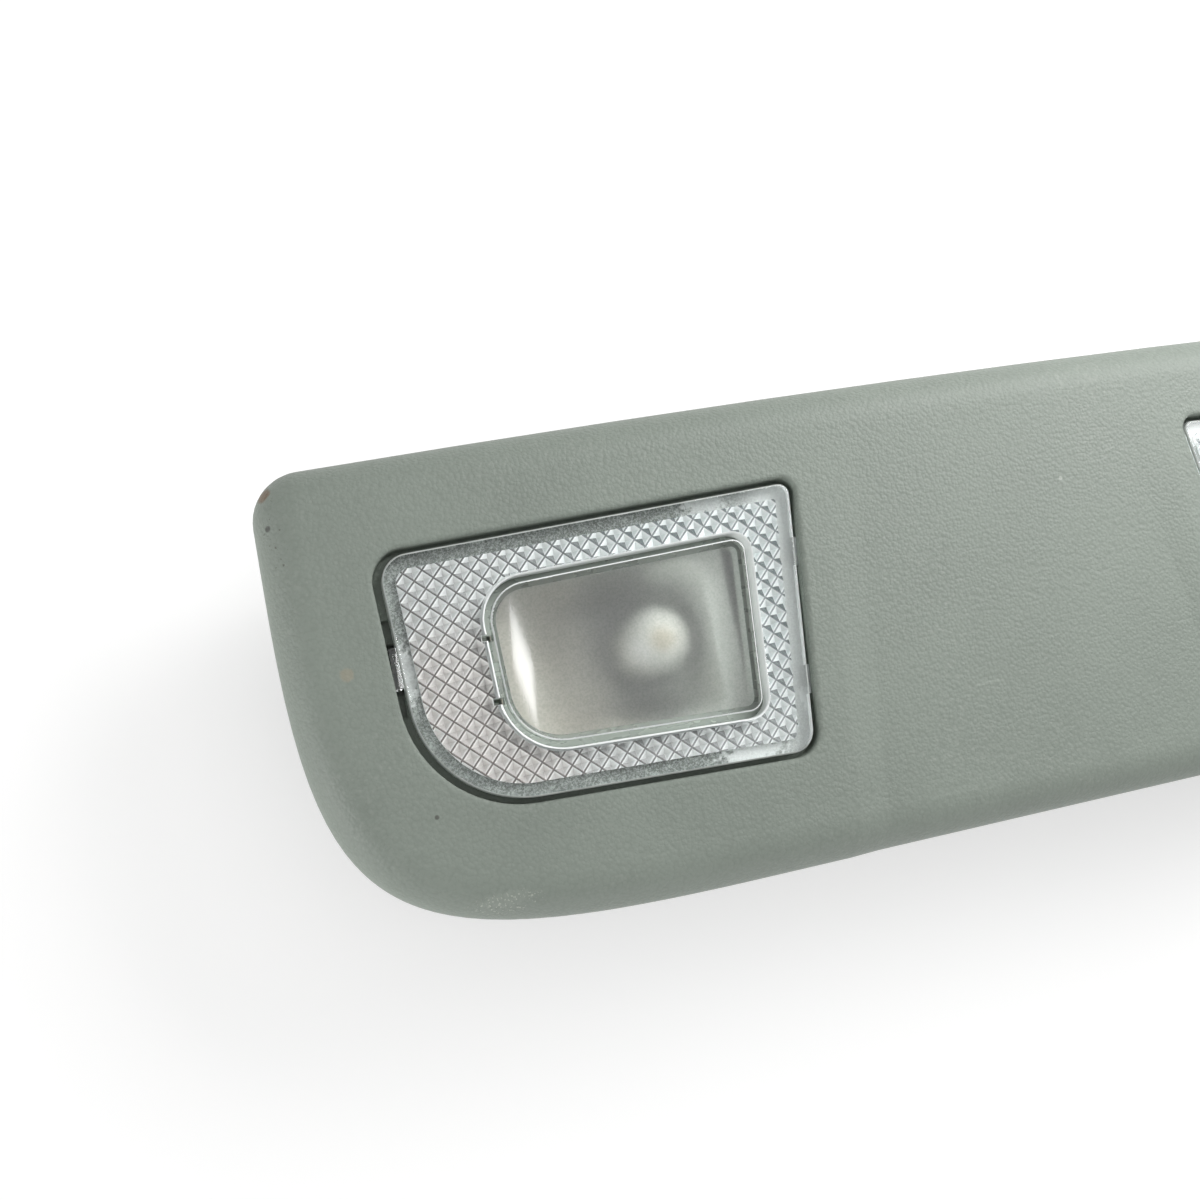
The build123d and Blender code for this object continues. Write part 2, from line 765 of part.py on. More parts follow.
def earth_strip():
    leg_x, upper, lower = inner_leg()
    end = -bulb_offset + holder_radius / 2
    left = bent_strip([(0, upper), (leg_x, upper), (leg_x, lower), (end, lower)], earth_y)
    return either_side(left)


def supply_strip():
    edge = switch_x + switch_width / 2 + strip_thick / 2
    level = floor_top + strip_thick / 2
    return bent_strip([(edge, level), (-edge, level)], supply_y)


def connector_housing():
    half = connector_width / 2
    shroud = block((-half, half), (connector_back, connector_front), (connector_bottom, tray_lift))
    shroud = chamfer(shroud.edges().filter_by(Axis.Y), connector_wall / 4)
    inner = half - connector_wall
    mouth = connector_front - connector_cavity
    cavity_z = (connector_bottom + connector_wall, tray_lift - connector_wall)
    shroud -= block((-inner, inner), (mouth, connector_front + 1), cavity_z)
    for slot in pin_tails(pin_clearance) + pin_blades(pin_clearance):
        shroud -= slot
    return shroud


def pin_blades(grow):
    half_x = pin_width / 2 + grow
    level = (pin_level - pin_thick / 2 - grow, pin_level + pin_thick / 2 + grow)
    blades = []
    for x, y in ((-pin_spacing / 2, supply_y), (pin_spacing / 2, earth_y)):
        blades.append(block((x - half_x, x + half_x), (y - pin_thick / 2 - grow, pin_tip), level))
    return blades


def connector_pins():
    made = [lamp_place * (tail + blade) for tail, blade in zip(pin_tails(0), pin_blades(0))]
    return Compound(children=[Solid(pin.solid().wrapped) for pin in made])


def base_screws():
    # Pan-head screws that go through the housing into the bosses of the bezel.
    made = []
    for x in (-screw_x, screw_x):
        for y in (-screw_y, screw_y):
            head = rod(screw_head_radius, x, y, (tray_lift - screw_head_height, tray_lift))
            head = fillet(head.edges().sort_by(Axis.Z)[0], screw_head_height / 2)
            shank = rod(screw_radius, x, y, (tray_lift, tray_lift + screw_length))
            made.append(head + shank)
    return Compound(children=[Solid(screw.solid().wrapped) for screw in made])


pieces = {
    "bezel": bezel(),
    "lamp_base": lamp_base(),
    "earth_strip": lamp_place * earth_strip(),
    "supply_strip": lamp_place * supply_strip(),
    "connector_housing": lamp_place * connector_housing(),
    "connector_pins": connector_pins(),
    "base_screws": base_screws(),
}
left_pieces = {
    "lens": left_lens(),
    "window": left_window(),
    "reflector": left_reflector(),
    "bulb": left_bulb(),
    "bulb_holder": left_bulb_holder(),
    "lamp_strip": left_lamp_strip(),
    "switch_body": left_switch_body(),
    "switch_plunger": left_switch_plunger(),
    "switch_spring": left_switch_spring(),
}
for name, piece in left_pieces.items():
    placed = lamp_place * piece
    pieces["left_" + name] = placed
    pieces["right_" + name] = mirror(placed, about=Plane.YZ)

os.makedirs("parts", exist_ok=True)
for name, piece in pieces.items():
    export_step(piece, "parts/" + name + ".step")
    print(name, len(piece.solids()), round(piece.volume, 1))
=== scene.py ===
import math

import bmesh
import bpy
from mathutils import Matrix, Vector


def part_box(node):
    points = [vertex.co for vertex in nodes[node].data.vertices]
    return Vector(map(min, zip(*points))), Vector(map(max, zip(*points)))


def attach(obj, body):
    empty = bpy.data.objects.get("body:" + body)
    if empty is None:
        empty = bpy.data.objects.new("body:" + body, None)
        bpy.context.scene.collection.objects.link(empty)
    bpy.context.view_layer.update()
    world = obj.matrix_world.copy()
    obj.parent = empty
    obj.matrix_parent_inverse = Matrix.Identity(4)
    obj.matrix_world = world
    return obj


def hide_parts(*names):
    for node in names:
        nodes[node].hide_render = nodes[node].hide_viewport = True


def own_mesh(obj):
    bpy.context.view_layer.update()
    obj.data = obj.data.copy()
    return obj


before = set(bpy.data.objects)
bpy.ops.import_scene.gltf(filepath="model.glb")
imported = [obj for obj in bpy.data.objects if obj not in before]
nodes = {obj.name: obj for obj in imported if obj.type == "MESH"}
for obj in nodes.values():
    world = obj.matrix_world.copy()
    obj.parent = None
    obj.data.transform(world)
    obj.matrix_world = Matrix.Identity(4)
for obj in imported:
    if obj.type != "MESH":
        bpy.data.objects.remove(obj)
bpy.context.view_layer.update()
mm = 0.001
print("frame loaded:", len(nodes), "nodes")


# helpers for node trees
def put(tree, kind, values=None, **props):
    made = tree.nodes.new(kind)
    for key, value in props.items():
        setattr(made, key, value)
    for key, value in (values or {}).items():
        socket = made.inputs[key]
        if isinstance(value, bpy.types.NodeSocket):
            tree.links.new(value, socket)
        else:
            socket.default_value = value
    return made


def calc(tree, how, a, b=0.0, clamp=False):
    return put(tree, "ShaderNodeMath", {0: a, 1: b}, operation=how, use_clamp=clamp).outputs[0]


def vecCalc(tree, how, a, b):
    return put(tree, "ShaderNodeVectorMath", {0: a, 1: b}, operation=how).outputs["Vector"]


def ease(tree, value, low, high, toLow=0.0, toHigh=1.0):
    ranged = put(tree, "ShaderNodeMapRange", {
        "Value": value, "From Min": low, "From Max": high, "To Min": toLow, "To Max": toHigh,
    }, interpolation_type="SMOOTHSTEP")
    return ranged.outputs[0]


def blendColor(tree, share, a, b, how="MIX"):
    return put(tree, "ShaderNodeMix", {0: share, 6: a, 7: b}, data_type="RGBA", blend_type=how).outputs[2]


def noise(tree, point, scale, detail=2.0, roughness=0.5):
    made = put(tree, "ShaderNodeTexNoise", {
        "Vector": point, "Scale": scale, "Detail": detail, "Roughness": roughness,
    })
    return made.outputs["Fac"]


def cover(tree, color, over, mask, share):
    return blendColor(tree, calc(tree, "MULTIPLY", mask, share), color, over)


def swing(tree, value, share):
    # turns a mask of 0 to 1 into a swing about zero
    return calc(tree, "MULTIPLY", calc(tree, "SUBTRACT", value, 0.5), share)


def split(tree, vector):
    return put(tree, "ShaderNodeSeparateXYZ", {0: vector}).outputs


def vecLength(tree, vector):
    return put(tree, "ShaderNodeVectorMath", {0: vector}, operation="LENGTH").outputs["Value"]


def scaled(tree, vector, by):
    return put(tree, "ShaderNodeVectorMath", {0: vector, "Scale": by}, operation="SCALE").outputs["Vector"]


def gray(value):
    return (value, value, value, 1.0)


def newGroup(name, inputs, outputs):
    group = bpy.data.node_groups.new(name, "ShaderNodeTree")
    for label, value in {"Vector": (0, 0, 0), **inputs}.items():
        kind = "NodeSocketVector" if isinstance(value, tuple) else "NodeSocketFloat"
        group.interface.new_socket(label, in_out="INPUT", socket_type=kind).default_value = value
    for label in outputs:
        kind = "NodeSocketVector" if label == "Normal" else "NodeSocketFloat"
        group.interface.new_socket(label, in_out="OUTPUT", socket_type=kind)
    out = put(group, "NodeGroupOutput").inputs

    def give(label, value):
        group.links.new(value, out[label])

    return group, put(group, "NodeGroupInput").outputs, give


def place(tree, group, point, values):
    return put(tree, "ShaderNodeGroup", {"Vector": point, **values}, node_tree=group).outputs


# shared effects
effectLook = {
    "mouldGrain": {"drift": 0.8, "fine": 2.6, "fineShare": 0.5, "pits": (0.45, 0.8)},
    "softMottle": {"detail": 4.0, "roughness": 0.55},
    "edgeWear": {"samples": 2, "bend": (0.01, 0.12), "broken": (0.42, 0.62)},
    "dustLayer": {"lying": (0.2, 0.95), "patchScale": 45.0, "patch": (0.35, 0.75), "grains": (0.5, 0.72)},
    "spotMark": {"edgeScale": 1500.0, "edgeShare": 2.0, "fill": (1.1, 0.6), "ring": (0.1, 0.0)},
    "drawnStreaks": {"detail": 3.0, "roughness": 0.6},
    "prismCell": {"line": (0.085, 0.045), "rim": (0.22, 0.13), "facet": (0.0, 0.04)},
}


def makeMouldGrain():
    look = effectLook["mouldGrain"]
    group, have, give = newGroup("mouldGrain", {"Size": 0.0005, "Warp": 0.4}, ["Height", "Pits"])
    point = vecCalc(group, "DIVIDE", have["Vector"], put(group, "ShaderNodeCombineXYZ", {
        0: have["Size"], 1: have["Size"], 2: have["Size"],
    }).outputs[0])
    drift = put(group, "ShaderNodeTexNoise", {
        "Vector": point, "Scale": look["drift"], "Detail": 1.0,
    }).outputs["Color"]
    drift = vecCalc(group, "SUBTRACT", drift, (0.5, 0.5, 0.5))
    drift = scaled(group, drift, have["Warp"])
    cells = put(group, "ShaderNodeTexVoronoi", {
        "Vector": vecCalc(group, "ADD", point, drift), "Scale": 1.0,
    }, feature="F1").outputs["Distance"]
    fine = noise(group, point, look["fine"])
    height = calc(group, "SUBTRACT", calc(group, "MULTIPLY", fine, look["fineShare"]), cells)
    give("Height", height)
    give("Pits", ease(group, cells, *look["pits"]))
    return group


def makeSoftMottle():
    group, have, give = newGroup("softMottle", {"Scale": 60.0, "Contrast": 1.0}, ["Value"])
    cloud = noise(group, have["Vector"], have["Scale"], **effectLook["softMottle"])
    offset = swing(group, cloud, have["Contrast"])
    give("Value", calc(group, "ADD", offset, 0.5, True))
    return group


def makeEdgeWear():
    look = effectLook["edgeWear"]
    group, have, give = newGroup("edgeWear", {"Radius": 0.0004, "Breakup": 900.0}, ["Wear", "Normal"])
    bevel = put(group, "ShaderNodeBevel", {"Radius": have["Radius"]}, samples=look["samples"])
    soft = bevel.outputs["Normal"]
    plain = put(group, "ShaderNodeNewGeometry").outputs["Normal"]
    same = put(group, "ShaderNodeVectorMath", {0: soft, 1: plain}, operation="DOT_PRODUCT").outputs["Value"]
    bend = ease(group, calc(group, "SUBTRACT", 1.0, same), *look["bend"])
    broken = ease(group, noise(group, have["Vector"], have["Breakup"], 3.0), *look["broken"])
    give("Wear", calc(group, "MULTIPLY", bend, broken))
    give("Normal", soft)
    return group


def makeDustLayer():
    look = effectLook["dustLayer"]
    group, have, give = newGroup("dustLayer", {"Amount": 0.5, "Scale": 500.0}, ["Mask"])
    facing = split(group, put(group, "ShaderNodeTexCoord").outputs["Normal"])["Z"]
    lying = ease(group, facing, *look["lying"])
    patch = ease(group, noise(group, have["Vector"], look["patchScale"], 3.0), *look["patch"])
    grains = ease(group, noise(group, have["Vector"], have["Scale"]), *look["grains"])
    mask = calc(group, "MULTIPLY", calc(group, "MULTIPLY", lying, patch), grains)
    give("Mask", calc(group, "MULTIPLY", mask, have["Amount"]))
    return group


def makeSpotMark():
    look = effectLook["spotMark"]
    group, have, give = newGroup("spotMark", {
        "Centre": (0, 0, 0), "Radius": 0.001, "Stretch": (1, 1, 1), "Rough": 0.3,
    }, ["Mask", "Ring"])
    away = vecCalc(group, "SUBTRACT", have["Vector"], have["Centre"])
    away = vecCalc(group, "MULTIPLY", away, have["Stretch"])
    share = calc(group, "DIVIDE", vecLength(group, away), have["Radius"])
    edge = swing(group, noise(group, have["Vector"], look["edgeScale"], 3.0), have["Rough"])
    share = calc(group, "ADD", share, calc(group, "MULTIPLY", edge, look["edgeShare"]))
    give("Mask", ease(group, share, *look["fill"]))
    rim = calc(group, "ABSOLUTE", calc(group, "SUBTRACT", share, 1.0))
    give("Ring", ease(group, rim, *look["ring"]))
    return group


def makeDrawnStreaks():
    group, have, give = newGroup("drawnStreaks", {"Stretch": (1, 1, 1), "Scale": 900.0}, ["Value"])
    point = vecCalc(group, "MULTIPLY", have["Vector"], have["Stretch"])
    streaks = noise(group, point, have["Scale"], **effectLook["drawnStreaks"])
    give("Value", streaks)
    return group


def makePrismCell():
    # a square prism from the front: groove lines, the band beside them for a painted highlight, three of its
    # four facets for painted light and shade
    look = effectLook["prismCell"]
    group, have, give = newGroup("prismCell", {
        "Centre X": 0.06235, "Centre Y": 0.00108, "Pitch": 0.0018, "Turn": 0.8142,
    }, ["Line", "RimHighlight", "Dark", "Upper", "Lower", "Cell", "Across", "Along"])
    spot = split(group, have["Vector"])
    across = calc(group, "SUBTRACT", have["Centre X"], calc(group, "ABSOLUTE", spot["X"]))
    along = calc(group, "SUBTRACT", spot["Y"], have["Centre Y"])
    flat = put(group, "ShaderNodeCombineXYZ", {0: across, 1: along}).outputs[0]
    back = calc(group, "MULTIPLY", have["Turn"], -1.0)
    turned = put(group, "ShaderNodeVectorRotate", {
        "Vector": flat, "Angle": back,
    }, rotation_type="Z_AXIS").outputs[0]
    shrink = calc(group, "DIVIDE", 1.0, have["Pitch"])
    cells = scaled(group, turned, shrink)
    inCell = vecCalc(group, "SUBTRACT", vecCalc(group, "FRACTION", cells, (0, 0, 0)), (0.5, 0.5, 0.5))
    part = split(group, inCell)
    onRight = calc(group, "GREATER_THAN", spot["X"], 0.0)
    first = put(group, "ShaderNodeMix", {0: onRight, 2: part["X"], 3: part["Y"]}).outputs[0]
    second = put(group, "ShaderNodeMix", {0: onRight, 2: part["Y"], 3: part["X"]}).outputs[0]
    farFirst = calc(group, "ABSOLUTE", first)
    farSecond = calc(group, "ABSOLUTE", second)
    border = calc(group, "SUBTRACT", 0.5, calc(group, "MAXIMUM", farFirst, farSecond))
    give("Line", ease(group, border, *look["line"]))
    give("RimHighlight", ease(group, border, *look["rim"]))
    facets = {
        "Dark": calc(group, "SUBTRACT", calc(group, "MULTIPLY", first, -1.0), farSecond),
        "Upper": calc(group, "SUBTRACT", first, farSecond),
        "Lower": calc(group, "SUBTRACT", calc(group, "MULTIPLY", second, -1.0), farFirst),
    }
    for label, reach in facets.items():
        give(label, ease(group, reach, *look["facet"]))
    whole = vecCalc(group, "FLOOR", cells, (0, 0, 0))
    give("Cell", put(group, "ShaderNodeTexWhiteNoise", {"Vector": whole}).outputs["Value"])
    give("Across", across)
    give("Along", along)
    return group


mouldGrain = makeMouldGrain()
softMottle = makeSoftMottle()
edgeWear = makeEdgeWear()
dustLayer = makeDustLayer()
spotMark = makeSpotMark()
drawnStreaks = makeDrawnStreaks()
prismCell = makePrismCell()
print("shared effects done:", len(bpy.data.node_groups))


# materials
mottleBand = (0.2, 0.8)  # the part of a mottle's range that changes the roughness


def newMaterial(name):
    material = bpy.data.materials.new(name)
    material.use_nodes = True
    tree = material.node_tree
    tree.nodes.clear()
    return material, tree, put(tree, "ShaderNodeTexCoord").outputs["Object"]


def closeMaterial(tree, shader):
    out = put(tree, "ShaderNodeOutputMaterial")
    tree.links.new(shader, out.inputs["Surface"])


def closeGlass(tree, shader):
    # lamps shine through, so that what lies behind is lit
    path = put(tree, "ShaderNodeLightPath")
    clear = put(tree, "ShaderNodeBsdfTransparent")
    mixed = put(tree, "ShaderNodeMixShader", {
        0: path.outputs["Is Shadow Ray"], 1: shader, 2: clear.outputs[0],
    })
    closeMaterial(tree, mixed.outputs[0])


def principled(tree, values):
    return put(tree, "ShaderNodeBsdfPrincipled", values).outputs[0]


def bump(tree, height, strength, distance, normal=None):
    values = {"Height": height, "Strength": strength, "Distance": distance}
    if normal is not None:
        values["Normal"] = normal
    return put(tree, "ShaderNodeBump", values).outputs["Normal"]


def spotAt(tree, point, mark, rough=0.3, stretch=(1, 1, 1)):
    return place(tree, spotMark, point, {
        "Centre": Vector(mark["at"]) * mm, "Radius": mark["radius"] * mm,
        "Stretch": mark.get("stretch", stretch), "Rough": rough,
    })


bezelLook = {
    "color": (0.236, 0.27, 0.235, 1.0),
    "pit": (0.19, 0.218, 0.189, 1.0),
    "roughness": (0.45, 0.58),
    "grain": {"Size": 0.00052, "Warp": 0.5},
    "cloud": {"Scale": 70.0, "Contrast": 0.7},
    "dust": {"Amount": 0.12, "Scale": 1400.0},
    "shares": {"pits": 0.3, "cloud": 0.16, "wear": 0.2},
    "bump": (0.6, 0.00013),
    "wearBreakup": 700.0,
    "speckEdge": 0.05,
    "dustColor": (0.6, 0.6, 0.56, 1.0),
    "softEdge": 0.0007,
    "crease": {"at": 0.0276, "lean": 0.1167, "reach": (0.0048, 0.0032), "softEdge": 0.0009},
    "marks": {
        "cornerScuff": {
            "at": (-104.2, 28.9, 35.6), "radius": 1.2, "color": (0.16, 0.105, 0.06, 1), "share": 0.85,
        },
        "endSpeck": {
            "at": (-104.1, 24.1, 36.6), "radius": 0.5, "color": (0.05, 0.05, 0.045, 1), "share": 0.8,
        },
        "lowSpeck": {
            "at": (-89.6, -16.2, 38.4), "radius": 0.35, "color": (0.07, 0.07, 0.06, 1), "share": 0.8,
        },
        "tanStain": {
            "at": (-97.6, 3.6, 38.5), "radius": 1.0, "color": (0.36, 0.31, 0.22, 1), "share": 0.45,
        },
        "whiteSpeck": {
            "at": (9.5, 14.1, 38.2), "radius": 0.35, "color": (0.5, 0.52, 0.48, 1), "share": 0.5,
        },
    },
    "rubs": {
        "lowerRub": {"at": (-82.5, -28.1, 35.0), "radius": 3.0, "stretch": (0.8, 2.4, 0.25), "share": 0.12},
        "middleScratch": {
            "at": (-9.3, -13.3, 37.8), "radius": 1.6, "stretch": (0.6, 5.0, 0.25), "share": 0.12,
        },
    },
    "specks": {
        "endSpecks": {
            "at": (-103.6, 22.5, 36.6), "radius": 7.0, "stretch": (4.0, 1.0, 1.0),
            "scale": 2400.0, "above": 0.68, "color": (0.09, 0.085, 0.07, 1.0), "share": 0.7,
        },
        "lowerSpecks": {
            "at": (-82.5, -28.6, 35.0), "radius": 4.5, "stretch": (0.8, 2.6, 0.25),
            "scale": 3000.0, "above": 0.62, "color": (0.55, 0.57, 0.51, 1.0), "share": 0.6,
        },
    },
    "markStretch": (1.0, 1.0, 0.6),
    "rubColor": (0.5, 0.54, 0.48, 1.0),
    "rubRough": 0.8,
}


def creaseRadius(tree, point):
    # the creases beside the middle of the face are rounder than the other edges
    crease = bezelLook["crease"]
    spot = split(tree, point)
    lean = calc(tree, "MULTIPLY", spot["Y"], crease["lean"])
    line = calc(tree, "ADD", calc(tree, "ABSOLUTE", spot["X"]), lean)
    away = calc(tree, "ABSOLUTE", calc(tree, "SUBTRACT", line, crease["at"]))
    return ease(tree, away, *crease["reach"], bezelLook["softEdge"], crease["softEdge"])


def makeBezelPlastic():
    material, tree, point = newMaterial("bezelPlastic")
    look = bezelLook
    grain = place(tree, mouldGrain, point, look["grain"])
    cloud = place(tree, softMottle, point, look["cloud"])
    dust = place(tree, dustLayer, point, look["dust"])
    radius = creaseRadius(tree, point)
    wear = place(tree, edgeWear, point, {"Radius": radius, "Breakup": look["wearBreakup"]})
    shares = look["shares"]
    color = cover(tree, look["color"], look["pit"], grain["Pits"], shares["pits"])
    color = blendColor(tree, shares["cloud"], color, cloud["Value"], "OVERLAY")
    color = cover(tree, color, look["rubColor"], wear["Wear"], shares["wear"])
    color = blendColor(tree, dust["Mask"], color, look["dustColor"])
    for mark in look["marks"].values():
        spot = spotAt(tree, point, mark, stretch=look["markStretch"])
        color = cover(tree, color, mark["color"], spot["Mask"], mark["share"])
    for rub in look["rubs"].values():
        spot = spotAt(tree, point, rub, rough=look["rubRough"])
        color = cover(tree, color, look["rubColor"], spot["Mask"], rub["share"])
    for speck in look["specks"].values():
        above = speck["above"]
        dots = ease(tree, noise(tree, point, speck["scale"], 1.0), above, above + look["speckEdge"])
        dots = calc(tree, "MULTIPLY", dots, speck["share"])
        color = cover(tree, color, speck["color"], spotAt(tree, point, speck)["Mask"], dots)
    roughness = ease(tree, cloud["Value"], *mottleBand, *look["roughness"])
    skin = principled(tree, {
        "Base Color": color, "Roughness": roughness, "IOR": 1.46,
        "Normal": bump(tree, grain["Height"], *look["bump"], wear["Normal"]),
    })
    closeMaterial(tree, skin)
    return material


housingLook = {
    "color": (0.2, 0.225, 0.2, 1.0),
    "pit": (0.15, 0.17, 0.15, 1.0),
    "dustColor": (0.5, 0.48, 0.43, 1.0),
    "roughness": (0.55, 0.68),
    "grain": {"Size": 0.0003, "Warp": 0.6},
    "cloud": {"Scale": 40.0, "Contrast": 1.2},
    "flow": {"Stretch": (0.25, 1.0, 1.0), "Scale": 130.0},
    "dust": {"Amount": 0.5, "Scale": 900.0},
    "shares": {"pits": 0.4, "cloud": 0.25, "flow": 0.12, "ejectors": 1.5},
    "bump": (0.4, 0.00005),
    "ejectors": [(-30, 24), (30, 24), (-30, -24), (30, -24), (-62, 20), (62, 20), (-62, -20), (62, -20)],
    "ejectorRadius": 2.2,
}


def makeHousingPlastic():
    material, tree, point = newMaterial("housingPlastic")
    look = housingLook
    grain = place(tree, mouldGrain, point, look["grain"])
    cloud = place(tree, softMottle, point, look["cloud"])
    flow = place(tree, drawnStreaks, point, look["flow"])
    dust = place(tree, dustLayer, point, look["dust"])
    shares = look["shares"]
    color = cover(tree, look["color"], look["pit"], grain["Pits"], shares["pits"])
    color = blendColor(tree, shares["cloud"], color, cloud["Value"], "OVERLAY")
    color = blendColor(tree, shares["flow"], color, flow["Value"], "OVERLAY")
    color = blendColor(tree, dust["Mask"], color, look["dustColor"])
    height = grain["Height"]
    for x, y in look["ejectors"]:
        pin = {"at": (x, y, 0.0), "radius": look["ejectorRadius"], "stretch": (1, 1, 0)}
        ring = spotAt(tree, point, pin, rough=0.0)["Ring"]
        height = calc(tree, "SUBTRACT", height, calc(tree, "MULTIPLY", ring, shares["ejectors"]))
    skin = principled(tree, {
        "Base Color": color, "Roughness": ease(tree, cloud["Value"], *mottleBand, *look["roughness"]),
        "IOR": 1.46, "Normal": bump(tree, height, *look["bump"]),
    })
    closeMaterial(tree, skin)
    return material


lensLook = {
    "color": (0.97, 0.99, 0.985, 1.0),
    "roughness": (0.015, 0.05),
    "smear": {"Scale": 120.0, "Contrast": 1.6},
    "smearBand": (0.5, 1.0),
    "hairs": {"Stretch": (0.3, 2.0, 1.0), "Scale": 1200.0},
    "hairBump": (0.04, 0.00002),
    "line": (0.075, 0.1, 0.102, 1.0),
    "lineWarm": (0.13, 0.115, 0.105, 1.0),
    # the facet tones are painted light: the pale facets stand for light the prisms reflect, the dark one for
    # shade seen through them
    "facets": {
        "Left": {"cool": (0.86, 0.9, 0.9, 1.0), "flat": (0.66, 0.66, 0.655, 1.0)},
        "Upper": {"cool": (0.88, 0.92, 0.92, 1.0), "flat": (0.84, 0.84, 0.83, 1.0)},
        "Lower": {"cool": (0.66, 0.71, 0.71, 1.0), "flat": (0.64, 0.645, 0.64, 1.0)},
        "Dark": {"cool": (0.115, 0.135, 0.135, 1.0), "flat": (0.44, 0.44, 0.435, 1.0)},
    },
    # painted highlight along the groove lines and on single cells
    "paintedHighlight": (0.95, 0.97, 0.97, 1.0),
    "frostDark": (0.1, 0.115, 0.105, 1.0),
    "frostLight": (0.4, 0.44, 0.415, 1.0),
    "frostPale": (0.8, 0.83, 0.82, 1.0),
    "frostPatches": {
        "upperRight": {"at": (45.5, 18.8, 35.5), "radius": 2.6, "stretch": (0.7, 1.2, 0.0), "share": 0.6},
        "lowerRight": {"at": (45.6, -16.1, 35.5), "radius": 3.0, "stretch": (0.6, 1.2, 0.0), "share": 0.65},
        "right": {"at": (36.2, -10.3, 35.5), "radius": 1.4, "stretch": (1.0, 0.8, 0.0), "share": 0.85},
        "tab": {"at": (90.2, 2.6, 35.5), "radius": 3.4, "stretch": (1.4, 0.8, 0.0), "share": 0.6},
    },
    "fade": (0.58, 20.0, 20.0),  # depth of the painted light and shade on the facets, its growth upwards and inwards per metre
    # a painted warm reflection over the lower outer corner of each lens
    "warmReflection": {"at": (83.0, -7.0, 36.0), "radius": 16.0, "stretch": (1, 1, 0), "tint": (1, 0.965, 0.95, 1)},
    "lineShare": (0.95, 0.72),  # groove lines fade from the outer to the inner side
    "lineReach": (-0.02, 0.024),
    "cellShare": 0.25,
    "rimShare": 0.8,
    "haze": {"Scale": 900.0, "Contrast": 1.0},
    "hazeRoughness": (0.2, 0.35),
    "sparkle": {"scale": 3600.0, "detail": 3.0, "roughness": 0.8},
    "sparkleBand": (0.4, 0.66),
    "frostCloud": {"Scale": 160.0, "Contrast": 1.5},
    "frostCloudShare": 0.5,
    "paleReach": (0.018, 0.027),
    "paleShare": 0.75,
    "paleRough": 0.9,
    "frostBand": (0.3, 0.7),
    "frostRoughness": (0.25, 0.5),
    "frostBump": (0.5, 0.00004),
}


def makeClearAcrylic():
    material, tree, point = newMaterial("clearAcrylic")
    look = lensLook
    smear = place(tree, softMottle, point, look["smear"])
    hairs = place(tree, drawnStreaks, point, look["hairs"])
    skin = principled(tree, {
        "Base Color": look["color"],
        "Roughness": ease(tree, smear["Value"], *look["smearBand"], *look["roughness"]),
        "Transmission Weight": 1.0, "IOR": 1.49,
        "Normal": bump(tree, hairs["Value"], *look["hairBump"]),
    })
    closeGlass(tree, skin)
    return material


def mirroredPoint(tree, point):
    # one set of places serves both lamps
    spot = split(tree, point)
    side = calc(tree, "ABSOLUTE", spot["X"])
    return put(tree, "ShaderNodeCombineXYZ", {0: side, 1: spot["Y"], 2: spot["Z"]}).outputs[0]


def makePrismPaintedLight():
    material, tree, point = newMaterial("prismPaintedLight")
    look = lensLook
    cell = place(tree, prismCell, point, {})
    grow = calc(tree, "MULTIPLY", cell["Along"], look["fade"][1])
    grow = calc(tree, "ADD", grow, calc(tree, "MULTIPLY", cell["Across"], look["fade"][2]))
    fade = calc(tree, "ADD", grow, look["fade"][0], True)
    # painted light and shade on the facets, from flat tones to full contrast
    paintedFacetLight = {}
    for label, tone in look["facets"].items():
        paintedFacetLight[label] = blendColor(tree, fade, tone["flat"], tone["cool"])
    color = cover(tree, paintedFacetLight["Left"], look["paintedHighlight"], cell["Cell"], look["cellShare"])
    for label in ("Upper", "Lower"):
        color = blendColor(tree, cell[label], color, paintedFacetLight[label])
    # painted highlight in the band beside the groove lines
    color = cover(tree, color, look["paintedHighlight"], cell["RimHighlight"], look["rimShare"])
    color = blendColor(tree, cell["Dark"], color, paintedFacetLight["Dark"])
    line = blendColor(tree, fade, look["lineWarm"], look["line"])
    lineShare = ease(tree, cell["Across"], *look["lineReach"], *look["lineShare"])
    color = cover(tree, color, line, cell["Line"], lineShare)
    # painted warm reflection over the lower outer corner
    corner = spotAt(tree, mirroredPoint(tree, point), look["warmReflection"], rough=0.0)
    color = blendColor(tree, corner["Mask"], color, look["warmReflection"]["tint"], "MULTIPLY")
    haze = place(tree, softMottle, point, look["haze"])
    skin = principled(tree, {
        "Base Color": color,
        "Roughness": ease(tree, haze["Value"], *mottleBand, *look["hazeRoughness"]),
    })
    closeMaterial(tree, skin)
    return material


def makeFlangeFrost():
    material, tree, point = newMaterial("flangeFrost")
    look = lensLook
    mirrored = mirroredPoint(tree, point)
    sparkle = noise(tree, point, **look["sparkle"])
    patch = place(tree, softMottle, point, look["frostCloud"])
    drift = swing(tree, patch["Value"], look["frostCloudShare"])
    level = calc(tree, "ADD", ease(tree, sparkle, *look["sparkleBand"]), drift, True)
    cell = place(tree, prismCell, point, {})
    inner = ease(tree, cell["Across"], *look["paleReach"])
    color = blendColor(tree, level, look["frostDark"], look["frostLight"])
    color = cover(tree, color, look["frostPale"], inner, look["paleShare"])
    for pale in look["frostPatches"].values():
        mark = spotAt(tree, mirrored, pale, rough=look["paleRough"])
        color = cover(tree, color, look["frostPale"], mark["Mask"], pale["share"])
    skin = principled(tree, {
        "Base Color": color,
        "Roughness": ease(tree, sparkle, *look["frostBand"], *look["frostRoughness"]),
        "Normal": bump(tree, sparkle, *look["frostBump"]),
    })
    closeMaterial(tree, skin)
    return material


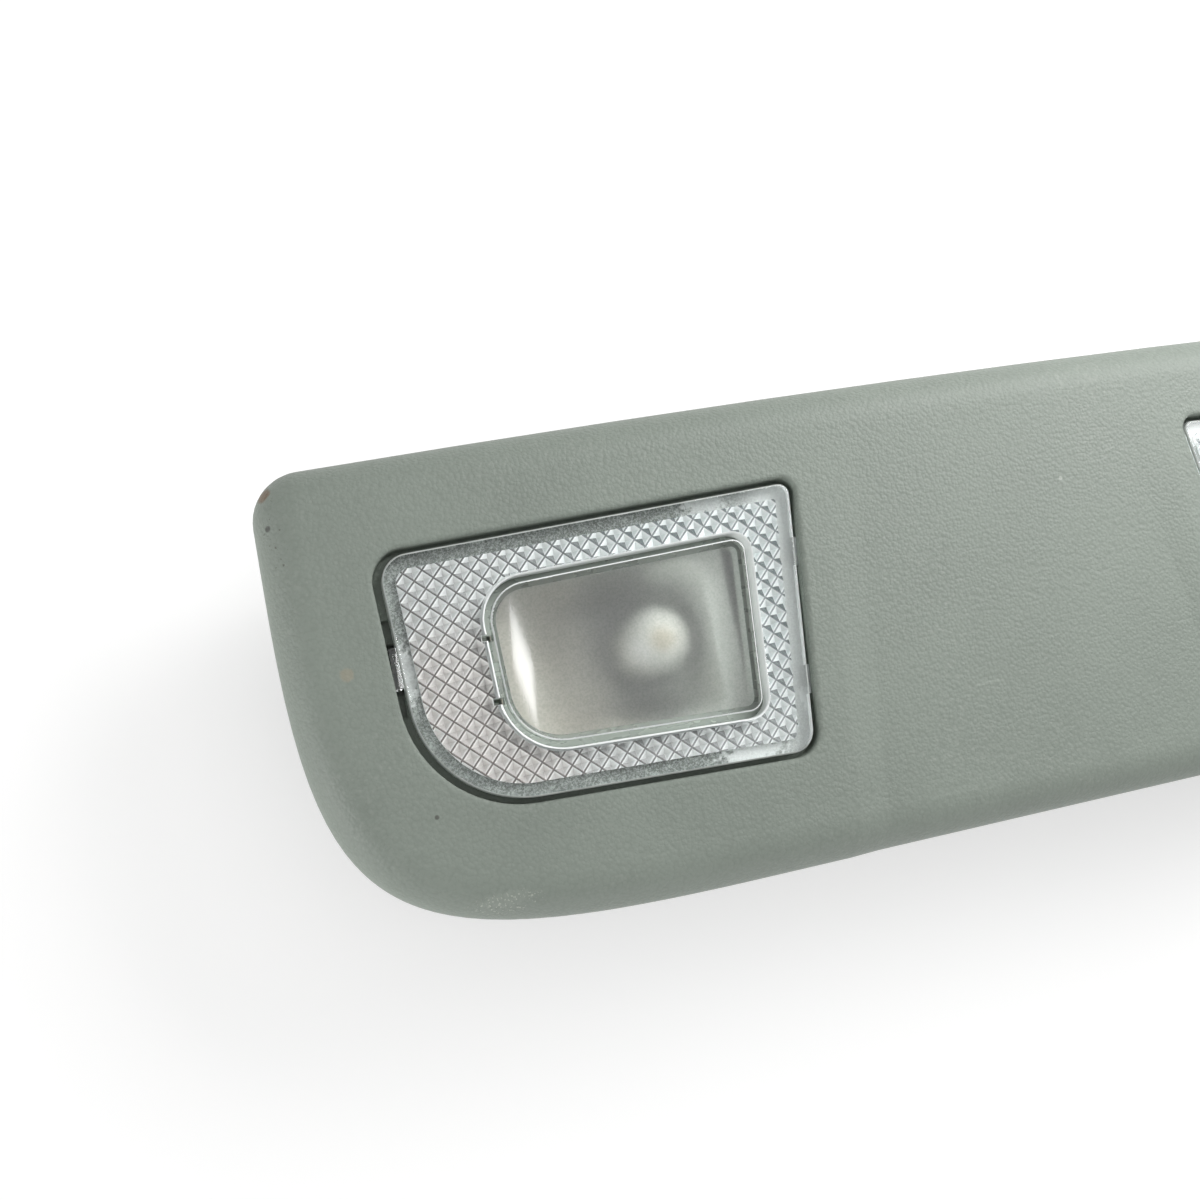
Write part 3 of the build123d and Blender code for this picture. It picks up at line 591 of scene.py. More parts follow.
# painted highlights on the rounded edges of lenses and windows
edgeLook = {
    "litEdge": {"low": (0.86, 0.89, 0.88, 1.0), "high": (0.95, 0.97, 0.97, 1.0)},
    "outerLitEdge": {"low": (0.4, 0.43, 0.41, 1.0), "high": (0.72, 0.75, 0.73, 1.0)},
}


def makeEdge(name):
    material, tree, point = newMaterial(name)
    # pale colour painted on rounded edges stands for the highlight they catch
    cloud = place(tree, softMottle, point, {"Scale": 400.0, "Contrast": 1.2})
    color = blendColor(tree, cloud["Value"], edgeLook[name]["low"], edgeLook[name]["high"])
    skin = principled(tree, {"Base Color": color, "Roughness": 0.3})
    closeMaterial(tree, skin)
    return material


windowLook = {
    "windowFront": {
        "color": (0.93, 0.945, 0.935, 1.0), "grainColor": (0.99, 0.995, 0.99, 1.0),
        "roughness": (0.07, 0.11), "through": 1.0,
    },
    "windowBack": {
        "color": (0.74, 0.785, 0.75, 1.0), "grainColor": (0.97, 0.99, 0.97, 1.0),
        "roughness": (0.295, 0.335), "through": 0.92,
    },
    "grain": 3400.0,
    "satin": (0.48, 0.525, 0.485, 1.0),
    "satinDeep": (0.4, 0.445, 0.405, 1.0),
}


def makeWindowFrost(name):
    material, tree, point = newMaterial(name)
    look = windowLook[name]
    speckle = ease(tree, noise(tree, point, windowLook["grain"], 2.0, 0.7), 0.35, 0.65)
    patch = place(tree, softMottle, point, {"Scale": 200.0, "Contrast": 1.0})
    skin = principled(tree, {
        "Base Color": blendColor(tree, speckle, look["color"], look["grainColor"]),
        "Roughness": ease(tree, patch["Value"], *mottleBand, *look["roughness"]),
        "Transmission Weight": look["through"], "IOR": 1.49,
    })
    closeGlass(tree, skin)
    return material


def makeWindowSatin():
    material, tree, point = newMaterial("windowSatin")
    cloud = place(tree, softMottle, point, {"Scale": 260.0, "Contrast": 1.2})
    flow = place(tree, drawnStreaks, point, {"Stretch": (0.4, 1.0, 1.0), "Scale": 500.0})
    color = blendColor(tree, cloud["Value"], windowLook["satin"], windowLook["satinDeep"])
    skin = principled(tree, {
        "Base Color": color, "Roughness": ease(tree, flow["Value"], 0.3, 0.7, 0.22, 0.34),
        "Transmission Weight": 0.3, "IOR": 1.49,
        "Normal": bump(tree, flow["Value"], 0.1, 0.00003),
    })
    closeGlass(tree, skin)
    return material


reflectorLook = {
    "pale": (0.78, 0.82, 0.77, 1.0),
    "brownish": (0.38, 0.36, 0.31, 1.0),
    "dark": (0.07, 0.075, 0.068, 1.0),
    # painted shadow: dark patches above and below the bulb and round its neck
    "paintedShadow": {
        "above": {"at": (58.0, 9.5, 26.0), "radius": 5.5, "stretch": (0.8, 1.0, 0.3), "share": 0.75},
        "below": {"at": (55.0, -6.5, 24.0), "radius": 4.5, "stretch": (0.7, 1.0, 0.3), "share": 0.75},
        "neck": {"at": (53.6, 1.9, 17.0), "radius": 9.4, "stretch": (1.0, 1.0, 0.4), "share": 0.65},
    },
    "paintedShadowRough": 0.25,
    "brownishReach": (0.049, 0.063),  # the outer half is painted darker and browner
    "brownishSwing": 0.6,
    "roughness": (0.3, 0.5),
}


def makeReflectorGrey():
    material, tree, point = newMaterial("reflectorGrey")
    look = reflectorLook
    mirrored = mirroredPoint(tree, point)
    outward = ease(tree, split(tree, mirrored)["X"], *look["brownishReach"])
    cloud = place(tree, softMottle, point, {"Scale": 110.0, "Contrast": 1.2})
    grain = place(tree, mouldGrain, point, {"Size": 0.0004, "Warp": 0.5})
    share = calc(tree, "ADD", outward, swing(tree, cloud["Value"], look["brownishSwing"]), True)
    color = blendColor(tree, share, look["pale"], look["brownish"])
    # painted shadow round the bulb
    for shadowPatch in look["paintedShadow"].values():
        paintedShadow = spotAt(tree, mirrored, shadowPatch, rough=look["paintedShadowRough"])
        color = cover(tree, color, look["dark"], paintedShadow["Mask"], shadowPatch["share"])
    skin = principled(tree, {
        "Base Color": color, "Roughness": ease(tree, cloud["Value"], *mottleBand, *look["roughness"]),
        "Normal": bump(tree, grain["Height"], 0.2, 0.00003),
    })
    closeMaterial(tree, skin)
    return material


darkLook = {
    "holder": {"color": (0.028, 0.028, 0.029, 1.0), "grain": 0.00035, "roughness": (0.34, 0.54)},
    "switch": {"color": (0.035, 0.036, 0.038, 1.0), "grain": 0.0005, "roughness": (0.42, 0.62)},
    "cloudColor": gray(0.07),
    "wearColor": gray(0.16),
    "dustColor": (0.38, 0.36, 0.32, 1.0),
    "shares": {"cloud": 0.35, "wear": 0.6},
}


def makeDarkPlastic(name):
    material, tree, point = newMaterial(name + "Plastic")
    look = darkLook[name]
    grain = place(tree, mouldGrain, point, {"Size": look["grain"], "Warp": 0.6})
    cloud = place(tree, softMottle, point, {"Scale": 150.0, "Contrast": 1.4})
    wear = place(tree, edgeWear, point, {"Radius": 0.0003, "Breakup": 1200.0})
    dust = place(tree, dustLayer, point, {"Amount": 0.35, "Scale": 1800.0})
    shares = darkLook["shares"]
    color = cover(tree, look["color"], darkLook["cloudColor"], cloud["Value"], shares["cloud"])
    color = cover(tree, color, darkLook["wearColor"], wear["Wear"], shares["wear"])
    color = blendColor(tree, dust["Mask"], color, darkLook["dustColor"])
    skin = principled(tree, {
        "Base Color": color,
        "Roughness": ease(tree, cloud["Value"], *mottleBand, *look["roughness"]),
        "Normal": bump(tree, grain["Height"], 0.35, 0.00004, wear["Normal"]),
    })
    closeMaterial(tree, skin)
    return material


paleLook = {
    "nylon": {"color": (0.72, 0.7, 0.61, 1.0), "deep": (0.55, 0.52, 0.42, 1.0), "roughness": (0.42, 0.54)},
    "acetal": {"color": (0.8, 0.79, 0.74, 1.0), "deep": (0.68, 0.66, 0.6, 1.0), "roughness": (0.34, 0.46)},
    "dustColor": (0.4, 0.37, 0.3, 1.0),
    "flowShare": 0.15,
}


def makePalePlastic(name):
    material, tree, point = newMaterial(name)
    look = paleLook[name]
    cloud = place(tree, softMottle, point, {"Scale": 120.0, "Contrast": 1.5})
    flow = place(tree, drawnStreaks, point, {"Stretch": (1.0, 0.3, 1.0), "Scale": 260.0})
    wear = place(tree, edgeWear, point, {"Radius": 0.00035, "Breakup": 1000.0})
    dust = place(tree, dustLayer, point, {"Amount": 0.4, "Scale": 1500.0})
    color = blendColor(tree, cloud["Value"], look["color"], look["deep"])
    color = blendColor(tree, paleLook["flowShare"], color, flow["Value"], "OVERLAY")
    color = blendColor(tree, dust["Mask"], color, paleLook["dustColor"])
    skin = principled(tree, {
        "Base Color": color,
        "Roughness": ease(tree, flow["Value"], 0.3, 0.7, *look["roughness"]),
        "Subsurface Weight": 0.15, "Subsurface Radius": (0.002, 0.0016, 0.001), "Subsurface Scale": 1.0,
        "Normal": bump(tree, flow["Value"], 0.12, 0.00004, wear["Normal"]),
    })
    closeMaterial(tree, skin)
    return material


metalLook = {
    "contactBrass": {
        "color": (0.78, 0.61, 0.31, 1.0), "dull": (0.44, 0.31, 0.16, 1.0), "stretch": (0.15, 3.0, 3.0),
        "roughness": (0.22, 0.45),
    },
    "screwZinc": {
        "color": (0.66, 0.66, 0.63, 1.0), "dull": (0.42, 0.42, 0.4, 1.0), "stretch": (1.0, 1.0, 3.0),
        "roughness": (0.28, 0.5),
    },
    "springWire": {
        "color": (0.58, 0.58, 0.59, 1.0), "dull": (0.3, 0.29, 0.28, 1.0), "stretch": (1.0, 1.0, 1.0),
        "roughness": (0.2, 0.36),
    },
    "filamentTungsten": {
        "color": (0.42, 0.41, 0.4, 1.0), "dull": (0.2, 0.2, 0.2, 1.0), "stretch": (1.0, 4.0, 4.0),
        "roughness": (0.3, 0.5),
    },
}


def makeMetal(name):
    material, tree, point = newMaterial(name)
    look = metalLook[name]
    streaks = place(tree, drawnStreaks, point, {"Stretch": look["stretch"], "Scale": 1400.0})
    cloud = place(tree, softMottle, point, {"Scale": 180.0, "Contrast": 1.8})
    wear = place(tree, edgeWear, point, {"Radius": 0.00015, "Breakup": 1500.0})
    color = blendColor(tree, ease(tree, cloud["Value"], 0.4, 0.95), look["color"], look["dull"])
    color = blendColor(tree, 0.2, color, streaks["Value"], "OVERLAY")
    low, high = look["roughness"]
    skin = principled(tree, {
        "Base Color": color, "Metallic": 1.0,
        "Roughness": ease(tree, cloud["Value"], 0.25, 0.85, low, high),
        "Normal": bump(tree, streaks["Value"], 0.15, 0.00002, wear["Normal"]),
    })
    closeMaterial(tree, skin)
    return material


bulbLook = {
    "glass": (0.72, 0.74, 0.7, 1.0),
    "glassPale": (0.86, 0.87, 0.83, 1.0),
    "tintsAndHighlights": {
        # the crown and the glint are painted highlights; the tan spot is painted at the tip
        "crown": {"at": (52.0, 2.4, 31.0), "radius": 4.6, "color": (0.9, 0.89, 0.84, 1.0), "share": 0.6},
        "tan": {"at": (53.4, 1.6, 31.0), "radius": 2.7, "color": (0.5, 0.44, 0.31, 1.0), "share": 0.7},
        "paintedGlint": {"at": (57.2, 0.2, 27.5), "radius": 2.8, "color": (1.0, 1.0, 1.0, 1.0), "share": 1.0},
    },
    "hueRough": 0.1,
    "foot": (0.75, 0.78, 0.76, 1.0),
    "footDeep": (0.6, 0.63, 0.62, 1.0),
    "wall": 0.55,
    "cavityFloor": 16.2,
    "profile": 14,
    "segments": 48,
    "wireRadius": 0.2,
    "legSpread": 1.9,
    "coilRadius": 0.36,
    "coilWire": 0.07,
    "coilTurns": 13,
    "coilLength": 3.6,
    "coilDrop": 6.5,
    "coilSteps": 12,
    "legDrop": 1.0,
    "legBend": (0.3, 1.0),
    "legInset": 0.7,
    "neckRise": 4.0,
    "shoulderDrop": 1.5,
    "cavityRise": 2.0,
    "narrowing": {"foot": 0.78, "shoulder": 0.9, "cavity": 0.6},
}


def makeBulbGlass():
    # a metal haze on the inside makes the dome milky; a tan spot is painted at its tip, and a pale crown and
    # a white glint at its lower left are painted highlights
    material, tree, point = newMaterial("bulbGlass")
    cloud = place(tree, softMottle, point, {"Scale": 130.0, "Contrast": 1.3})
    mirrored = mirroredPoint(tree, point)
    color = blendColor(tree, cloud["Value"], bulbLook["glass"], bulbLook["glassPale"])
    for hue in bulbLook["tintsAndHighlights"].values():
        spot = spotAt(tree, mirrored, hue, rough=bulbLook["hueRough"])
        color = cover(tree, color, hue["color"], spot["Mask"], hue["share"])
    skin = principled(tree, {
        "Base Color": color,
        "Roughness": ease(tree, cloud["Value"], 0.4, 0.9, 0.03, 0.1),
        "Transmission Weight": 0.25, "IOR": 1.5,
    })
    closeGlass(tree, skin)
    return material


def makePressedGlass():
    material, tree, point = newMaterial("pressedGlass")
    cloud = place(tree, softMottle, point, {"Scale": 400.0, "Contrast": 1.5})
    color = blendColor(tree, cloud["Value"], bulbLook["foot"], bulbLook["footDeep"])
    skin = principled(tree, {
        "Base Color": color, "Roughness": ease(tree, cloud["Value"], 0.3, 0.8, 0.08, 0.2),
        "Transmission Weight": 0.6, "IOR": 1.5,
        "Normal": bump(tree, cloud["Value"], 0.2, 0.0001),
    })
    closeGlass(tree, skin)
    return material


# dressing the frame's own pieces
def dress(material, *names):
    for name in names:
        mesh = nodes[name].data
        mesh.materials.clear()
        mesh.materials.append(material)


def dressFaces(name, materials, pick):
    # several materials on one piece, chosen face by face
    mesh = nodes[name].data
    mesh.materials.clear()
    for material in materials:
        mesh.materials.append(material)
    for face in mesh.polygons:
        face.material_index = pick(face.normal, face.center / mm)


def bothSides(word):
    return ["left_" + word, "right_" + word]


lensLevels = {
    "flangeBack": 35.45,
    "prismTip": 35.55,
    "prismRoot": 36.95,
    "frontEdge": 37.4,
    "holeX": (39.5, 80.4),
    "holeY": (-12.5, 14.7),
    "near": 0.05,
}


def lensFace(normal, center):
    # 0 clear, 1 prisms with painted light, 2 frosted flange, 3 lit edges by prisms and window, 4 outer front
    # edge with a painted highlight
    look = lensLevels
    lowX, highX = look["holeX"]
    lowY, highY = look["holeY"]
    byHole = lowX < abs(center.x) < highX and lowY < center.y < highY
    upright = abs(normal.z) < 0.3
    if 0.2 < normal.z < 0.97 and center.z > look["frontEdge"]:
        return 3 if byHole else 4
    if upright and (byHole or look["prismTip"] < center.z < look["prismRoot"]):
        return 3
    if normal.z > 0.2 or center.z > look["prismRoot"]:
        return 0
    if center.z > look["prismTip"]:
        return 1
    if normal.z < -0.9 and abs(center.z - look["flangeBack"]) < look["near"]:
        return 3 if byHole else 2
    return 0


windowLevels = {"plateBack": 36.0, "rim": 36.4, "near": 0.05}


def windowFace(normal, center):
    # 0 frosted front, 1 frosted back of the plate, 2 satin flange, skirt and tab, 3 lit edge
    look = windowLevels
    if center.z > look["rim"] and normal.z > 0.2:
        return 0 if normal.z > 0.93 else 3
    if normal.z < -0.9 and abs(center.z - look["plateBack"]) < look["near"]:
        return 1
    return 2


litEdge = makeEdge("litEdge")
lensMaterials = [makeClearAcrylic(), makePrismPaintedLight(), makeFlangeFrost(), litEdge, makeEdge("outerLitEdge")]
windowMaterials = [makeWindowFrost("windowFront"), makeWindowFrost("windowBack"), makeWindowSatin(), litEdge]
for side in ("left", "right"):
    dressFaces(side + "_lens", lensMaterials, lensFace)
    dressFaces(side + "_window", windowMaterials, windowFace)
brass = makeMetal("contactBrass")
zinc = makeMetal("screwZinc")
springWire = makeMetal("springWire")
tungsten = makeMetal("filamentTungsten")
nylon = makePalePlastic("nylon")
dress(makeBezelPlastic(), "bezel")
dress(makeHousingPlastic(), "lamp_base")
dress(makeReflectorGrey(), *bothSides("reflector"))
dress(makeDarkPlastic("holder"), *bothSides("bulb_holder"))
dress(makeDarkPlastic("switch"), *bothSides("switch_body"))
dress(nylon, "connector_housing")
dress(makePalePlastic("acetal"), *bothSides("switch_plunger"))
dress(brass, "earth_strip", "supply_strip", "connector_pins", *bothSides("lamp_strip"))
print("materials done:", len(bpy.data.materials))


# new pieces
def addObject(name, data):
    made = bpy.data.objects.new(name, data)
    bpy.context.scene.collection.objects.link(made)
    return made


def meshPiece(name, mesh, material):
    for face in mesh.polygons:
        face.use_smooth = True
    mesh.materials.append(material)
    return addObject(name, mesh)


def builtMesh(name, build):
    mesh = bpy.data.meshes.new(name)
    build.to_mesh(mesh)
    build.free()
    return mesh


def finalMesh(thing):
    bpy.context.view_layer.update()
    ready = thing.evaluated_get(bpy.context.evaluated_depsgraph_get())
    return bpy.data.meshes.new_from_object(ready)


def lathe(name, profile, segments):
    # turns (radius, height) points about the Z axis; a radius of 0 becomes one pole
    build = bmesh.new()
    rings = []
    for radius, height in profile:
        if radius < 1e-9:
            rings.append([build.verts.new((0, 0, height))])
            continue
        turns = [2 * math.pi * i / segments for i in range(segments)]
        rings.append([build.verts.new((radius * math.cos(a), radius * math.sin(a), height)) for a in turns])
    for low, high in zip(rings, rings[1:]):
        for i in range(segments):
            j = (i + 1) % segments
            corners = [low[i % len(low)], low[j % len(low)], high[j % len(high)], high[i % len(high)]]
            unique = list(dict.fromkeys(corners))
            if len(unique) > 2:
                build.faces.new(unique)
    bmesh.ops.recalc_face_normals(build, faces=build.faces)
    return builtMesh(name, build)


def dome(radius, tip, base, count):
    # quarter circle from the side of a tube to its tip
    steps = [math.pi / 2 * i / count for i in range(count + 1)]
    return [(radius * math.cos(a), base + (tip - base) * math.sin(a)) for a in steps]


def wire(name, points, radius, material):
    data = bpy.data.curves.new(name, "CURVE")
    data.dimensions = "3D"
    data.bevel_depth = radius
    data.bevel_resolution = 3
    data.use_fill_caps = True
    line = data.splines.new("POLY")
    line.points.add(len(points) - 1)
    for spot, point in zip(line.points, points):
        spot.co = (*point, 1.0)
    source = addObject(name + "Line", data)
    mesh = finalMesh(source)
    bpy.data.objects.remove(source)
    mesh.materials.clear()
    return meshPiece(name, mesh, material)


def makeBulb(side, glass, pressed):
    low, high = (Vector(corner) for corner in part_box(side + "_bulb"))
    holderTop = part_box(side + "_bulb_holder")[1][2]
    middle = (low + high) / 2
    look = bulbLook
    radius = (high.x - low.x) / 2
    wall = look["wall"] * mm
    neck = holderTop + look["neckRise"] * mm
    shoulder = neck - look["shoulderDrop"] * mm
    narrow = look["narrowing"]
    floor = look["cavityFloor"] * mm
    outer = [(0, holderTop), (radius * narrow["foot"], holderTop)]
    outer += [(radius * narrow["shoulder"], shoulder), (radius, neck)]
    outer += dome(radius, high.z, high.z - radius, look["profile"])
    inner = [(0, floor), (radius * narrow["cavity"], floor), (radius - wall, neck + look["cavityRise"] * mm)]
    inner += dome(radius - wall, high.z - wall, high.z - radius, look["profile"])
    shells = []
    for part, profile in (("Outer", outer), ("Cavity", inner)):
        shells.append(lathe(side + part, profile, look["segments"]))
    build = bmesh.new()
    build.from_mesh(shells[1])
    bmesh.ops.reverse_faces(build, faces=build.faces)
    build.from_mesh(shells[0])
    bmesh.ops.translate(build, verts=build.verts, vec=(middle.x, middle.y, 0))
    name = side + "BulbGlass"
    envelope = meshPiece(name, builtMesh(name, build), glass)
    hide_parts(side + "_bulb")
    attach(envelope, "root")
    foot = makeBulbFoot(side, middle, low.z, holderTop, pressed)
    legs, coil = makeFilament(side, middle, floor, high.z)
    for piece in (foot, legs, coil):
        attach(piece, "root")


footLook = {"width": 9.0, "thick": 3.2, "edge": 0.35, "plate": 0.7, "rib": 0.3}


def makeBulbFoot(side, middle, low, high, pressed):
    # flat pressed foot with a raised middle rib on each face
    build = bmesh.new()
    half = Vector((footLook["width"] / 2, footLook["thick"] / 2, 0)) * mm
    for wide, thick in ((half.x, half.y * footLook["plate"]), (half.x * footLook["rib"], half.y)):
        made = bmesh.ops.create_cube(build, size=1.0)
        shape = Matrix.Translation((middle.x, middle.y, (low + high) / 2))
        shape = shape @ Matrix.Diagonal((2 * wide, 2 * thick, high - low, 1))
        bmesh.ops.transform(build, matrix=shape, verts=made["verts"])
    edges = [edge for edge in build.edges if edge.is_manifold]
    bmesh.ops.bevel(build, geom=edges, offset=footLook["edge"] * mm, segments=3, affect="EDGES")
    name = side + "BulbFoot"
    return meshPiece(name, builtMesh(name, build), pressed)


def makeFilament(side, middle, floor, tip):
    look = bulbLook
    spread = look["legSpread"] * mm
    level = tip - look["coilDrop"] * mm
    half = look["coilLength"] / 2 * mm
    steps = look["coilSteps"] * look["coilTurns"]
    ring = look["coilRadius"] * mm
    spiral = []
    for i in range(steps + 1):
        turn = 2 * math.pi * i / look["coilSteps"]
        along = -half + 2 * half * i / steps
        spiral.append((middle.x + along, middle.y + ring * math.cos(turn), level + ring * math.sin(turn)))
    coil = wire(side + "BulbCoil", spiral, look["coilWire"] * mm, tungsten)
    bends = [(half, level + ring), (spread, level - look["legDrop"] * mm)]
    for reach, drop in zip((1.0, look["legInset"]), look["legBend"]):
        bends.append((spread * reach, floor - drop * mm))
    bridge = [(middle.x - across, middle.y, height) for across, height in bends]
    bridge += [(middle.x + across, middle.y, height) for across, height in reversed(bends)]
    legs = wire(side + "BulbLegs", bridge, look["wireRadius"] * mm, springWire)
    return legs, coil


bulbGlass = makeBulbGlass()
pressedGlass = makePressedGlass()
for side in ("left", "right"):
    makeBulb(side, bulbGlass, pressedGlass)
print("bulbs done")

screwLook = {
    "places": [(-17.5, -20), (-17.5, 20), (17.5, -20), (17.5, 20)],
    "headRadius": 3.5,
    "headHeight": 2.2,
    "shank": 1.45,
    "length": 12.0,
    "seat": 16.0,
    "crossLength": 3.6,
    "crossWidth": 0.8,
    "crossDepth": 1.4,
    "segments": 40,
    "threadPitch": 1.2,
    "threadDepth": 0.25,
    "threadSteps": (0.45, 0.7, 0.95),
    "flat": 0.62,
    "crown": 0.85,
    "crownSteps": 8,
    "tip": (0.5, 0.3),
    "crossTaper": (0.45, 0.7),
    "crossLead": 0.5,
    "turn": 0.5,
    "sharpAngle": 35,
}


def screwProfile():
    look = screwLook
    head = look["headRadius"]
    under = look["seat"]
    bottom = under - look["headHeight"]
    rise = look["headHeight"]
    flat = head * look["flat"]
    points = [(0, bottom), (flat, bottom)]
    for i in range(look["crownSteps"]):
        a = math.pi / 2 * (i + 1) / look["crownSteps"]
        points.append((flat + (head - flat) * math.sin(a), bottom + rise * look["crown"] * (1 - math.cos(a))))
    points += [(head, under), (look["shank"], under)]
    turns = int((look["length"] - 1) / look["threadPitch"])
    for i in range(turns):
        for step, depth in zip(look["threadSteps"], (0.0, look["threadDepth"], 0.0)):
            points.append((look["shank"] - depth, under + look["threadPitch"] * (i + step)))
    tipShare, tipDrop = look["tip"]
    end = under + look["length"]
    points += [(look["shank"] * tipShare, end - tipDrop), (0, end)]
    return [(radius * mm, height * mm) for radius, height in points]


def crossTool():
    # tapered cross that cuts the drive recess
    look = screwLook
    build = bmesh.new()
    taperX, taperY = look["crossTaper"]
    for turn in (0, math.pi / 2):
        made = bmesh.ops.create_cube(build, size=1.0)
        for vert in made["verts"]:
            inner = vert.co.z > 0
            vert.co.x *= look["crossLength"] * (taperX if inner else 1.0)
            vert.co.y *= look["crossWidth"] * (taperY if inner else 1.0)
            vert.co.z = look["crossDepth"] if inner else -look["crossLead"]
        bmesh.ops.rotate(build, verts=made["verts"], cent=(0, 0, 0), matrix=Matrix.Rotation(turn, 3, "Z"))
    bmesh.ops.scale(build, vec=(mm, mm, mm), verts=build.verts)
    bmesh.ops.translate(build, vec=(0, 0, (look["seat"] - look["headHeight"]) * mm), verts=build.verts)
    return addObject("crossTool", builtMesh("crossTool", build))


def makeScrews():
    blank = addObject("screwBlank", lathe("screwBlank", screwProfile(), screwLook["segments"]))
    tool = crossTool()
    cut = blank.modifiers.new("recess", "BOOLEAN")
    cut.object = tool
    cut.operation = "DIFFERENCE"
    cut.solver = "EXACT"
    cut.use_self = True
    one = finalMesh(blank)
    bpy.data.objects.remove(blank)
    bpy.data.objects.remove(tool)
    build = bmesh.new()
    for i, (x, y) in enumerate(screwLook["places"]):
        before = len(build.verts)
        build.from_mesh(one)
        build.verts.ensure_lookup_table()
        new = build.verts[before:]
        turn = Matrix.Rotation(screwLook["turn"] * i, 3, "Z")
        bmesh.ops.rotate(build, verts=new, cent=(0, 0, 0), matrix=turn)
        bmesh.ops.translate(build, verts=new, vec=(x * mm, y * mm, 0))
    mesh = builtMesh("baseScrews", build)
    screws = meshPiece("baseScrews", mesh, zinc)
    mesh.set_sharp_from_angle(angle=math.radians(screwLook["sharpAngle"]))
    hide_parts("base_screws")
    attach(screws, "root")


makeScrews()
print("screws done")


def makeSprings():
    # each coil shortens as its plunger comes down
    # each switch spring is copied, dressed in spring wire and hung on the root body
    for side in ("left", "right"):
        node = side + "_switch_spring"
        mesh = nodes[node].data.copy()
        mesh.materials.clear()
        coil = meshPiece(side + "SwitchCoil", mesh, springWire)
        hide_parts(node)
        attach(coil, "root")
        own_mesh(coil)


makeSprings()
print("springs done")

# stage
stageLook = {
    "floorColor": (0.9, 0.9, 0.895, 1.0),
    "seenColor": (0.5, 0.5, 0.497, 1.0),
    "glow": 0.62,
    "farGlow": 0.82,
    "farReach": (0.3, 1.2),
    "ambient": 0.39,
    "shadow": 0.45,
    "shadowReach": 0.03,
    "shadowSamples": 4,
    "floorSize": 6.0,
}


def seenBy(tree, path):
    # rays that show the white ground: straight, mirrored or through clear pieces, but no diffuse light
    seen = calc(tree, "MAXIMUM", path.outputs["Is Camera Ray"], path.outputs["Is Glossy Ray"])
    seen = calc(tree, "MAXIMUM", seen, path.outputs["Is Transmission Ray"])
    return calc(tree, "MULTIPLY", seen, calc(tree, "LESS_THAN", path.outputs["Diffuse Depth"], 0.5))


def makeFloor():
    half = stageLook["floorSize"] / 2
    mesh = bpy.data.meshes.new("floor")
    corners = [(-half, -half, 0), (half, -half, 0), (half, half, 0), (-half, half, 0)]
    mesh.from_pydata(corners, [], [(0, 1, 2, 3)])
    floor = addObject("floor", mesh)
    material, tree, point = newMaterial("floorPaper")
    path = put(tree, "ShaderNodeLightPath")
    paper = put(tree, "ShaderNodeBsdfDiffuse", {"Color": stageLook["floorColor"]})
    shown = put(tree, "ShaderNodeBsdfDiffuse", {"Color": stageLook["seenColor"]})
    near = put(tree, "ShaderNodeAmbientOcclusion", {
        "Distance": stageLook["shadowReach"],
    }, samples=stageLook["shadowSamples"]).outputs["AO"]
    away = vecLength(tree, point)
    level = ease(tree, away, *stageLook["farReach"], stageLook["glow"], stageLook["farGlow"])
    shaded = calc(tree, "MULTIPLY", level, ease(tree, near, 0.0, 1.0, 1 - stageLook["shadow"], 1.0))
    glow = put(tree, "ShaderNodeEmission", {"Strength": shaded})
    both = put(tree, "ShaderNodeAddShader", {0: shown.outputs[0], 1: glow.outputs[0]})
    floorMix = {0: seenBy(tree, path), 1: paper.outputs[0], 2: both.outputs[0]}
    closeMaterial(tree, put(tree, "ShaderNodeMixShader", floorMix).outputs[0])
    mesh.materials.append(material)


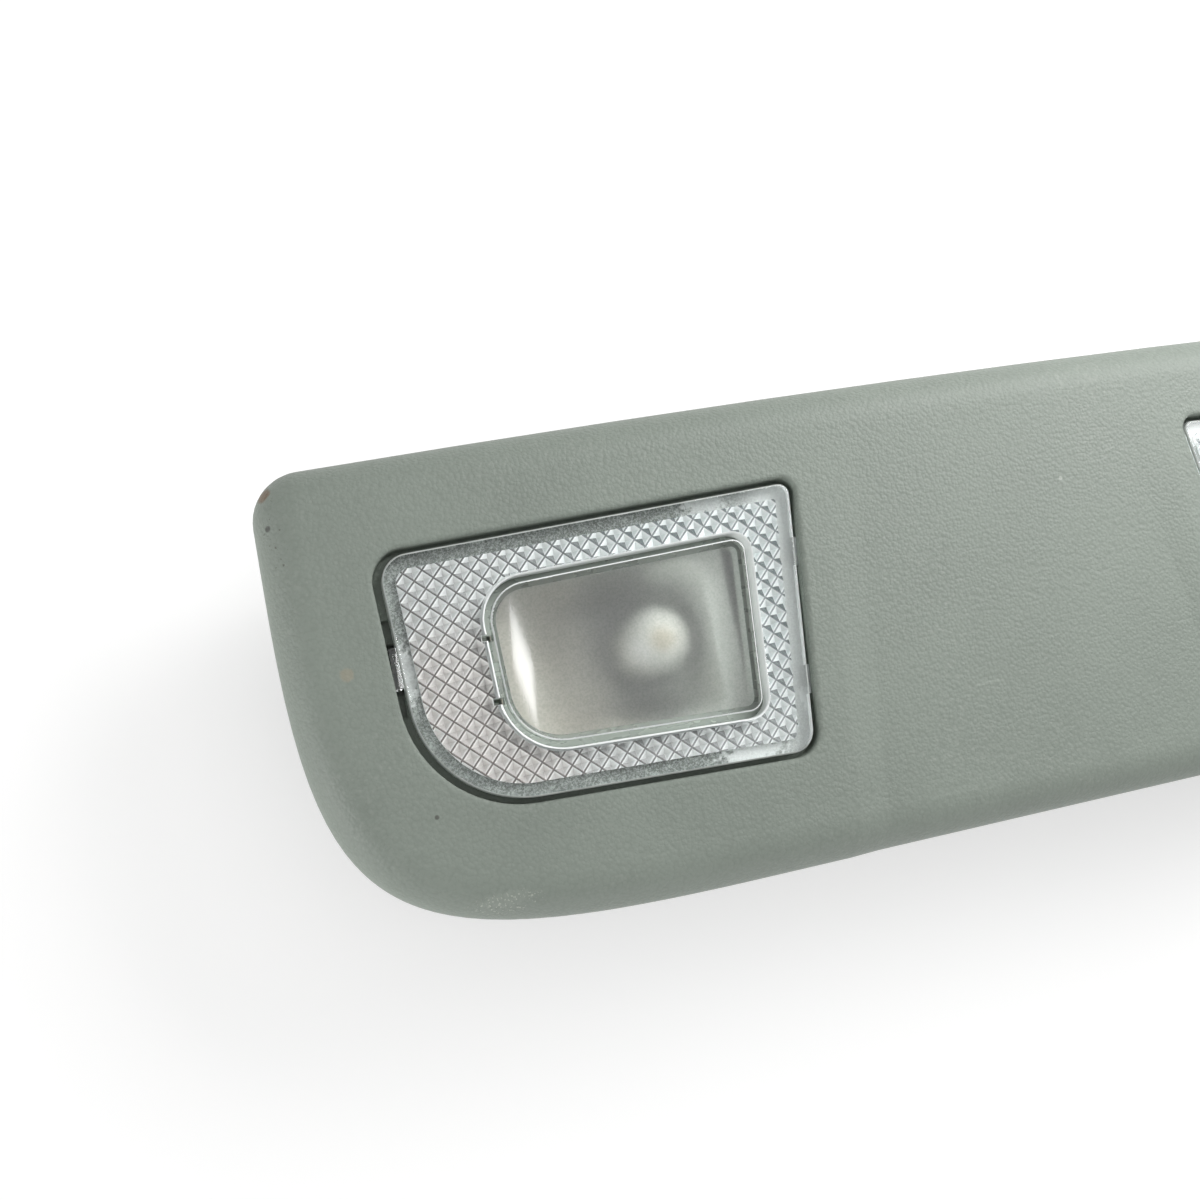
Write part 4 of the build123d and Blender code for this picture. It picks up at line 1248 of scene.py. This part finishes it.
def makeWorld():
    world = bpy.data.worlds.new("studio")
    bpy.context.scene.world = world
    world.use_nodes = True
    tree = world.node_tree
    tree.nodes.clear()
    path = put(tree, "ShaderNodeLightPath")
    strength = put(tree, "ShaderNodeMapRange", {
        "Value": seenBy(tree, path), "To Min": stageLook["ambient"], "To Max": 1.0,
    })
    sky = put(tree, "ShaderNodeBackground", {"Strength": strength.outputs[0]})
    out = put(tree, "ShaderNodeOutputWorld")
    tree.links.new(sky.outputs[0], out.inputs["Surface"])


softLights = {
    "key": {"place": (0.16, 0.14, 0.22), "aim": (-0.03, 0.0, 0.03), "size": (0.2, 0.2), "power": 0.99},
    "fill": {"place": (-0.42, -0.1, 0.12), "aim": (-0.1, 0.0, 0.03), "size": (0.3, 0.2), "power": 0.75},
    "bounce": {"place": (-0.06, -0.42, 0.04), "aim": (-0.06, -0.03, 0.03), "size": (0.4, 0.1), "power": 0.4},
    "panel": {
        "place": (-0.127, 0.045, 0.64), "aim": (-0.075, 0.002, 0.037), "size": (0.05, 0.06), "power": 0.16,
    },
}


def makeLights():
    for name, look in softLights.items():
        data = bpy.data.lights.new(name, "AREA")
        data.shape = "RECTANGLE"
        data.size, data.size_y = look["size"]
        data.energy = look["power"]
        lamp = addObject(name, data)
        lamp.location = look["place"]
        aim = Vector(look["aim"]) - Vector(look["place"])
        lamp.rotation_euler = aim.to_track_quat("-Z", "Y").to_euler()


cameraLook = {
    "place": (-102.5, -10.92, 198.6),
    "forward": (0.2367, 0.1118, -0.9651),
    "up": (0.1630, 0.9747, 0.1528),
    "lens": 37.2,
    "near": 0.005,
}


def makeCamera():
    data = bpy.data.cameras.new("camera")
    data.lens = cameraLook["lens"]
    data.clip_start = cameraLook["near"]
    camera = addObject("camera", data)
    back = -Vector(cameraLook["forward"]).normalized()
    right = Vector(cameraLook["up"]).cross(back).normalized()
    up = back.cross(right)
    camera.matrix_world = Matrix.Translation(Vector(cameraLook["place"]) * mm) @ Matrix((
        (right.x, up.x, back.x, 0),
        (right.y, up.y, back.y, 0),
        (right.z, up.z, back.z, 0),
        (0, 0, 0, 1),
    ))
    bpy.context.scene.camera = camera


makeFloor()
makeWorld()
makeLights()
makeCamera()
bpy.context.scene.view_settings.view_transform = "Standard"
print("stage done")
